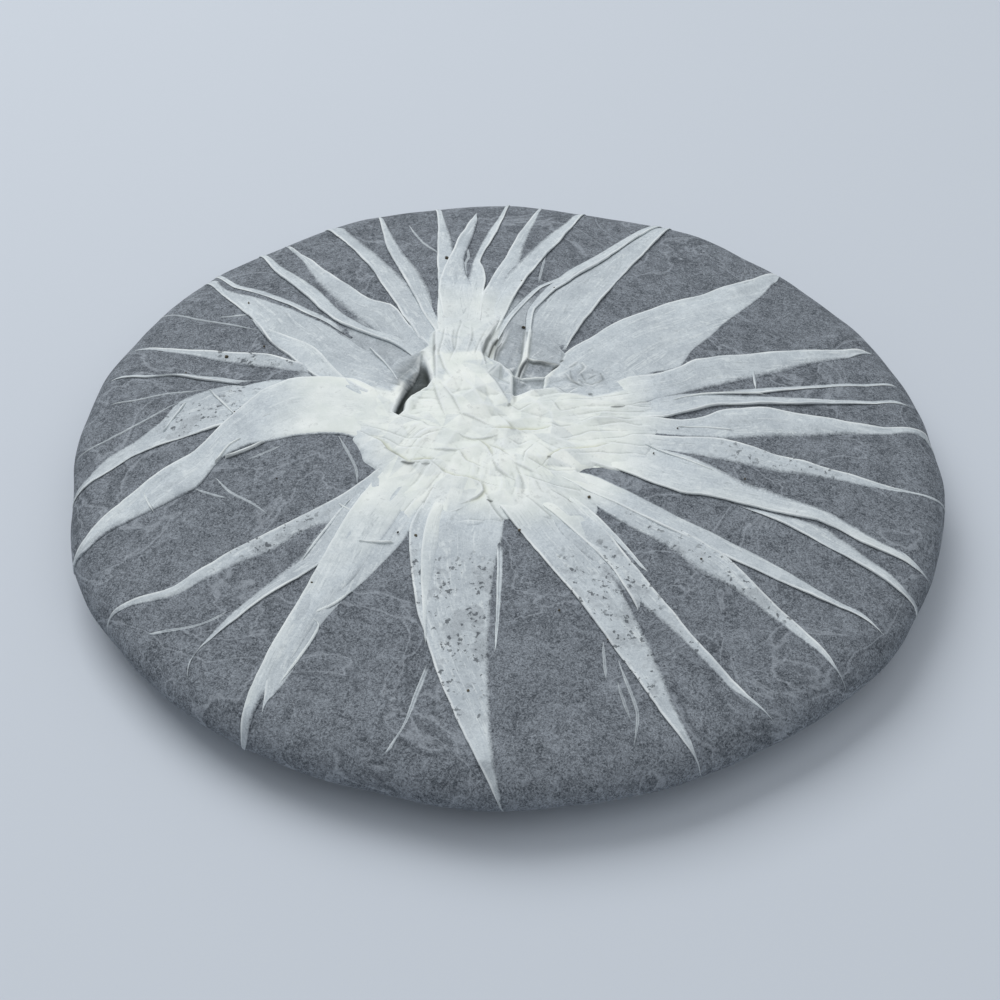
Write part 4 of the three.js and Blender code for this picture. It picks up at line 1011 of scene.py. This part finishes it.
class Finish:
    """A material and the one way to add a node to it."""

    def __init__(self, name):
        self.material = bpy.data.materials.new(name)
        self.material.use_nodes = True
        self.tree = self.material.node_tree
        self.shader = self.tree.nodes["Principled BSDF"]

    def node(self, kind, settings, inputs, out=0):
        node = self.tree.nodes.new(kind)
        for key, value in settings.items():
            setattr(node, key, value)
        for key, value in inputs.items():
            self.feed(node.inputs[key], value)
        return Wire(self, node.outputs[out])

    def feed(self, socket, value):
        if isinstance(value, Wire):
            self.tree.links.new(value.socket, socket)
        else:
            socket.default_value = value

    def set(self, **values):
        for key, value in values.items():
            self.feed(self.shader.inputs[key.replace("_", " ")], value)

    def blend(self, factor, first, second):
        return self.node("ShaderNodeMix", {"data_type": "RGBA"}, {0: factor, 6: first, 7: second}, out=2)

    def place(self):
        return self.node("ShaderNodeTexCoord", {}, {}, out="Object")

    def mark(self, name):
        return self.node("ShaderNodeAttribute", {"attribute_name": name}, {}, out="Fac")

    def luminance(self, colour):
        return self.node("ShaderNodeRGBToBW", {}, {0: colour})

    def noise(self, at, scale, detail=2.0, roughness=0.5, distortion=0.0):
        values = {"Vector": at, "Scale": scale, "Detail": detail, "Roughness": roughness, "Distortion": distortion}
        return self.node("ShaderNodeTexNoise", {}, values)


def grey(red, green, blue):
    """A colour as it looks on a screen, out of 255, made linear."""
    values = [value / 255 for value in (red, green, blue)]
    return tuple(v / 12.92 if v <= 0.04045 else ((v + 0.055) / 1.055) ** 2.4 for v in values) + (1,)


def tissue_finish():
    """Thin fibrous tissue: mottled grey where one layer lies on dark tea, whiter with each layer."""
    tissue = Finish("tissue")
    at = tissue.place()
    layers, fade, dust = tissue.mark("layers"), tissue.mark("fade"), tissue.mark("dust")
    coarse = tissue.noise(at, 170, 3, 0.6)
    middle = tissue.noise(at, 480, 3, 0.65, 0.8)
    fine = tissue.noise(at, 1150, 3, 0.7, 1.5)
    grain = tissue.noise(at, 2600, 2, 0.8)
    # Where a pleat fades into the sheet, its edge is torn up by the paper's fibres
    cover = (fade + 0.5 * (fine - 0.5) + 0.4 * (coarse - 0.5)).above(0.1, 0.8)
    patchy = tissue.noise(at, 75, 3, 0.6)
    whole = layers * cover * (0.8 + 0.4 * patchy) - 0.35 * dust * coarse.above(0.5, 0.62)
    # Pale fibres lie every way in it, in a loose net
    net = tissue.noise(at, 520, 2, 0.55, 2.0)
    threads = (0.03 - (net - 0.5).size()).above(0.0, 0.03)
    knots = tissue.noise(at, 900, 2, 0.5, 3.0)
    threads = threads + (0.035 - (knots - 0.52).size()).above(0.0, 0.035) * coarse.above(0.4, 0.6)
    speckle = (0.42 * fine + 0.33 * grain + 0.15 * middle + 0.1 * coarse).above(0.38, 0.63)
    single = tissue.blend(speckle, grey(57, 63, 70), grey(138, 145, 153))
    single = tissue.blend((0.45 * threads).kept(), single, grey(168, 175, 183))
    # It is never quite smooth: faint creases wander over it, each painted as a pale highlight line and a dark shade
    # line
    wander = tissue.noise(at, 38, 4, 0.5, 1.0)
    single = tissue.blend((0.36 * (0.014 - (wander - 0.5).size()).above(0.0, 0.014)).kept(), single, grey(172, 179, 187))
    single = tissue.blend((0.3 * (0.014 - (wander - 0.47).size()).above(0.0, 0.014)).kept(), single, grey(58, 64, 71))
    folded = tissue.blend((0.6 * fine + 0.4 * coarse).above(0.3, 0.7), grey(178, 187, 194), grey(212, 220, 224))
    centre = tissue.blend(coarse.above(0.3, 0.7), grey(226, 232, 227), grey(238, 242, 238))
    colour = tissue.blend(whole.kept(), single, folded)
    colour = tissue.blend((2 * whole - 2).kept(), colour, centre)
    # Creases along the folds are painted as fine highlight and shade lines
    flow = tissue.node("ShaderNodeUVMap", {"uv_map": "flow"}, {})
    stretched = tissue.node("ShaderNodeVectorMath", {"operation": "MULTIPLY"}, {0: flow, 1: (3.2, 0.22, 1.0)})
    folds = tissue.noise(stretched, 1.0, 3, 0.6, 0.4)
    drawn = whole.above(0.5, 0.9) * (1 - 0.6 * whole.above(1.1, 1.4))
    crease_highlight = (0.025 - (folds - 0.5).size()).above(0.0, 0.02) * drawn
    dark = (0.02 - (folds - 0.43).size()).above(0.0, 0.02) * drawn
    colour = tissue.blend((0.42 * crease_highlight * middle.above(0.4, 0.6)).kept(), colour, grey(232, 238, 238))
    colour = tissue.blend((0.36 * dark * middle.above(0.4, 0.6)).kept(), colour, grey(140, 148, 152))
    # Folded edges get a painted highlight, the gaps beside them painted grey shade, and the hollows deep in the middle
    # painted shade with a yellow tint
    colour = tissue.blend((0.7 * tissue.mark("ridge") * cover).kept(), colour, grey(232, 237, 238))
    colour = tissue.blend((0.55 * tissue.mark("shade")).kept(), colour, grey(120, 127, 124))
    colour = tissue.blend((0.8 * tissue.mark("hollow")).kept(), colour, grey(205, 207, 178))
    # Tea dust under the pleats
    shift = tissue.node("ShaderNodeTexNoise", {}, {"Vector": at, "Scale": 700.0, "Detail": 3.0}, out="Color")
    bent = tissue.node("ShaderNodeVectorMath", {"operation": "MULTIPLY_ADD"}, {0: shift, 1: (0.003, 0.003, 0.003), 2: at})
    cells = tissue.node("ShaderNodeTexVoronoi", {}, {"Vector": bent, "Scale": 760.0}, out="Distance")
    pick = tissue.node("ShaderNodeTexVoronoi", {}, {"Vector": bent, "Scale": 760.0}, out="Color")
    spots = (0.9 * tissue.luminance(pick) - 0.26 - cells + 1.2 * (fine - 0.5)).above(0.0, 0.15)
    blots = spots * (0.2 * whole.above(0.6, 0.9) * coarse.above(0.5, 0.6) + dust * coarse.above(0.3, 0.5)).kept()
    colour = tissue.blend((0.8 * blots).kept(), colour, grey(70, 76, 82))
    # Painted shade down the crevice and along the dark lines where sheets part
    colour = tissue.blend((0.92 * tissue.mark("gloom")).kept(), colour, grey(50, 56, 54))
    relief = tissue.node("ShaderNodeBump", {}, {"Strength": 0.4, "Distance": 0.0004,
                                                "Height": 0.5 * fine + 0.25 * grain + 0.6 * folds})
    tissue.set(Base_Color=colour, Roughness=0.82 - 0.1 * fine, Normal=relief)
    tissue.shader.inputs["Specular IOR Level"].default_value = 0.25
    return tissue.material


def tea_finish():
    """Pressed dark leaf, seen only down the crevice."""
    tea = Finish("tea")
    at = tea.place()
    leaf = tea.node("ShaderNodeTexVoronoi", {}, {"Vector": at, "Scale": 260.0}, out="Distance")
    shade = tea.noise(at, 120, 4, 0.7)
    colour = tea.blend(leaf.above(0.1, 0.7), grey(38, 36, 30), grey(88, 80, 62))
    colour = tea.blend(shade.above(0.4, 0.7), colour, grey(30, 30, 26))
    relief = tea.node("ShaderNodeBump", {}, {"Strength": 0.8, "Distance": 0.001, "Height": leaf + shade})
    tea.set(Base_Color=colour, Roughness=0.85 - 0.2 * shade, Normal=relief)
    return tea.material


def floor_finish():
    floor = Finish("floor")
    floor.set(Base_Color=grey(199, 206, 215), Roughness=0.8)
    return floor.material


# Camera and light

CAMERA_ELEVATION = 42.69
CAMERA_ROLL = 0.68
CAMERA_DISTANCE = 462.3
CAMERA_AIM = (0, 0, 12)
CAMERA_SLIDE = (-1.0, -9.4)


def camera():
    elevation, roll = math.radians(CAMERA_ELEVATION), math.radians(CAMERA_ROLL)
    back = Vector((0, -math.cos(elevation), math.sin(elevation)))
    right = Vector((1, 0, 0))
    up = back.cross(right)
    place = Vector(CAMERA_AIM) + right * CAMERA_SLIDE[0] + up * CAMERA_SLIDE[1] + back * CAMERA_DISTANCE
    side = right * math.cos(roll) + up * math.sin(roll)
    rise = up * math.cos(roll) - right * math.sin(roll)
    bpy.ops.object.camera_add()
    eye = bpy.context.object
    eye.data.lens = 72
    eye.data.sensor_width = 36
    eye.matrix_world = Matrix((side, rise, back)).transposed().to_4x4()
    eye.location = place * MM
    bpy.context.scene.camera = eye


def light(name, place, size, power, colour):
    deselect()
    bpy.ops.object.light_add(type="AREA", location=place)
    lamp = bpy.context.object
    lamp.name = name
    lamp.data.size = size
    lamp.data.energy = power
    lamp.data.color = colour
    lamp.rotation_euler = (-Vector(place)).to_track_quat("-Z", "Y").to_euler()


def studio():
    deselect()
    bpy.ops.mesh.primitive_plane_add(size=6)
    floor = added("floor")
    floor.data.materials.append(floor_finish())
    light("window", (-0.5, 0.64, 1.2), 1.1, 13.6, (1, 1, 1))
    light("room", (0.4, -0.6, 1.4), 1.6, 5, (1, 1, 1))
    world = bpy.data.worlds.new("room")
    world.use_nodes = True
    world.node_tree.nodes["Background"].inputs["Color"].default_value = (0.92, 0.96, 1.0, 1)
    world.node_tree.nodes["Background"].inputs["Strength"].default_value = 0.37
    bpy.context.scene.world = world
    bpy.context.scene.view_settings.view_transform = "Standard"


tissue = tissue_finish()
camera()
studio()
for made in (tissue_sheet(), tissue_pleats(), tissue_gather()):
    finished(made, tissue, "tissue_wrap")

crumbs, tea = tea_crumbs(), tea_finish()
finished(crumbs, tea, None)

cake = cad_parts["tea_cake"]
cake.data.materials.clear()
cake.data.materials.append(tea)
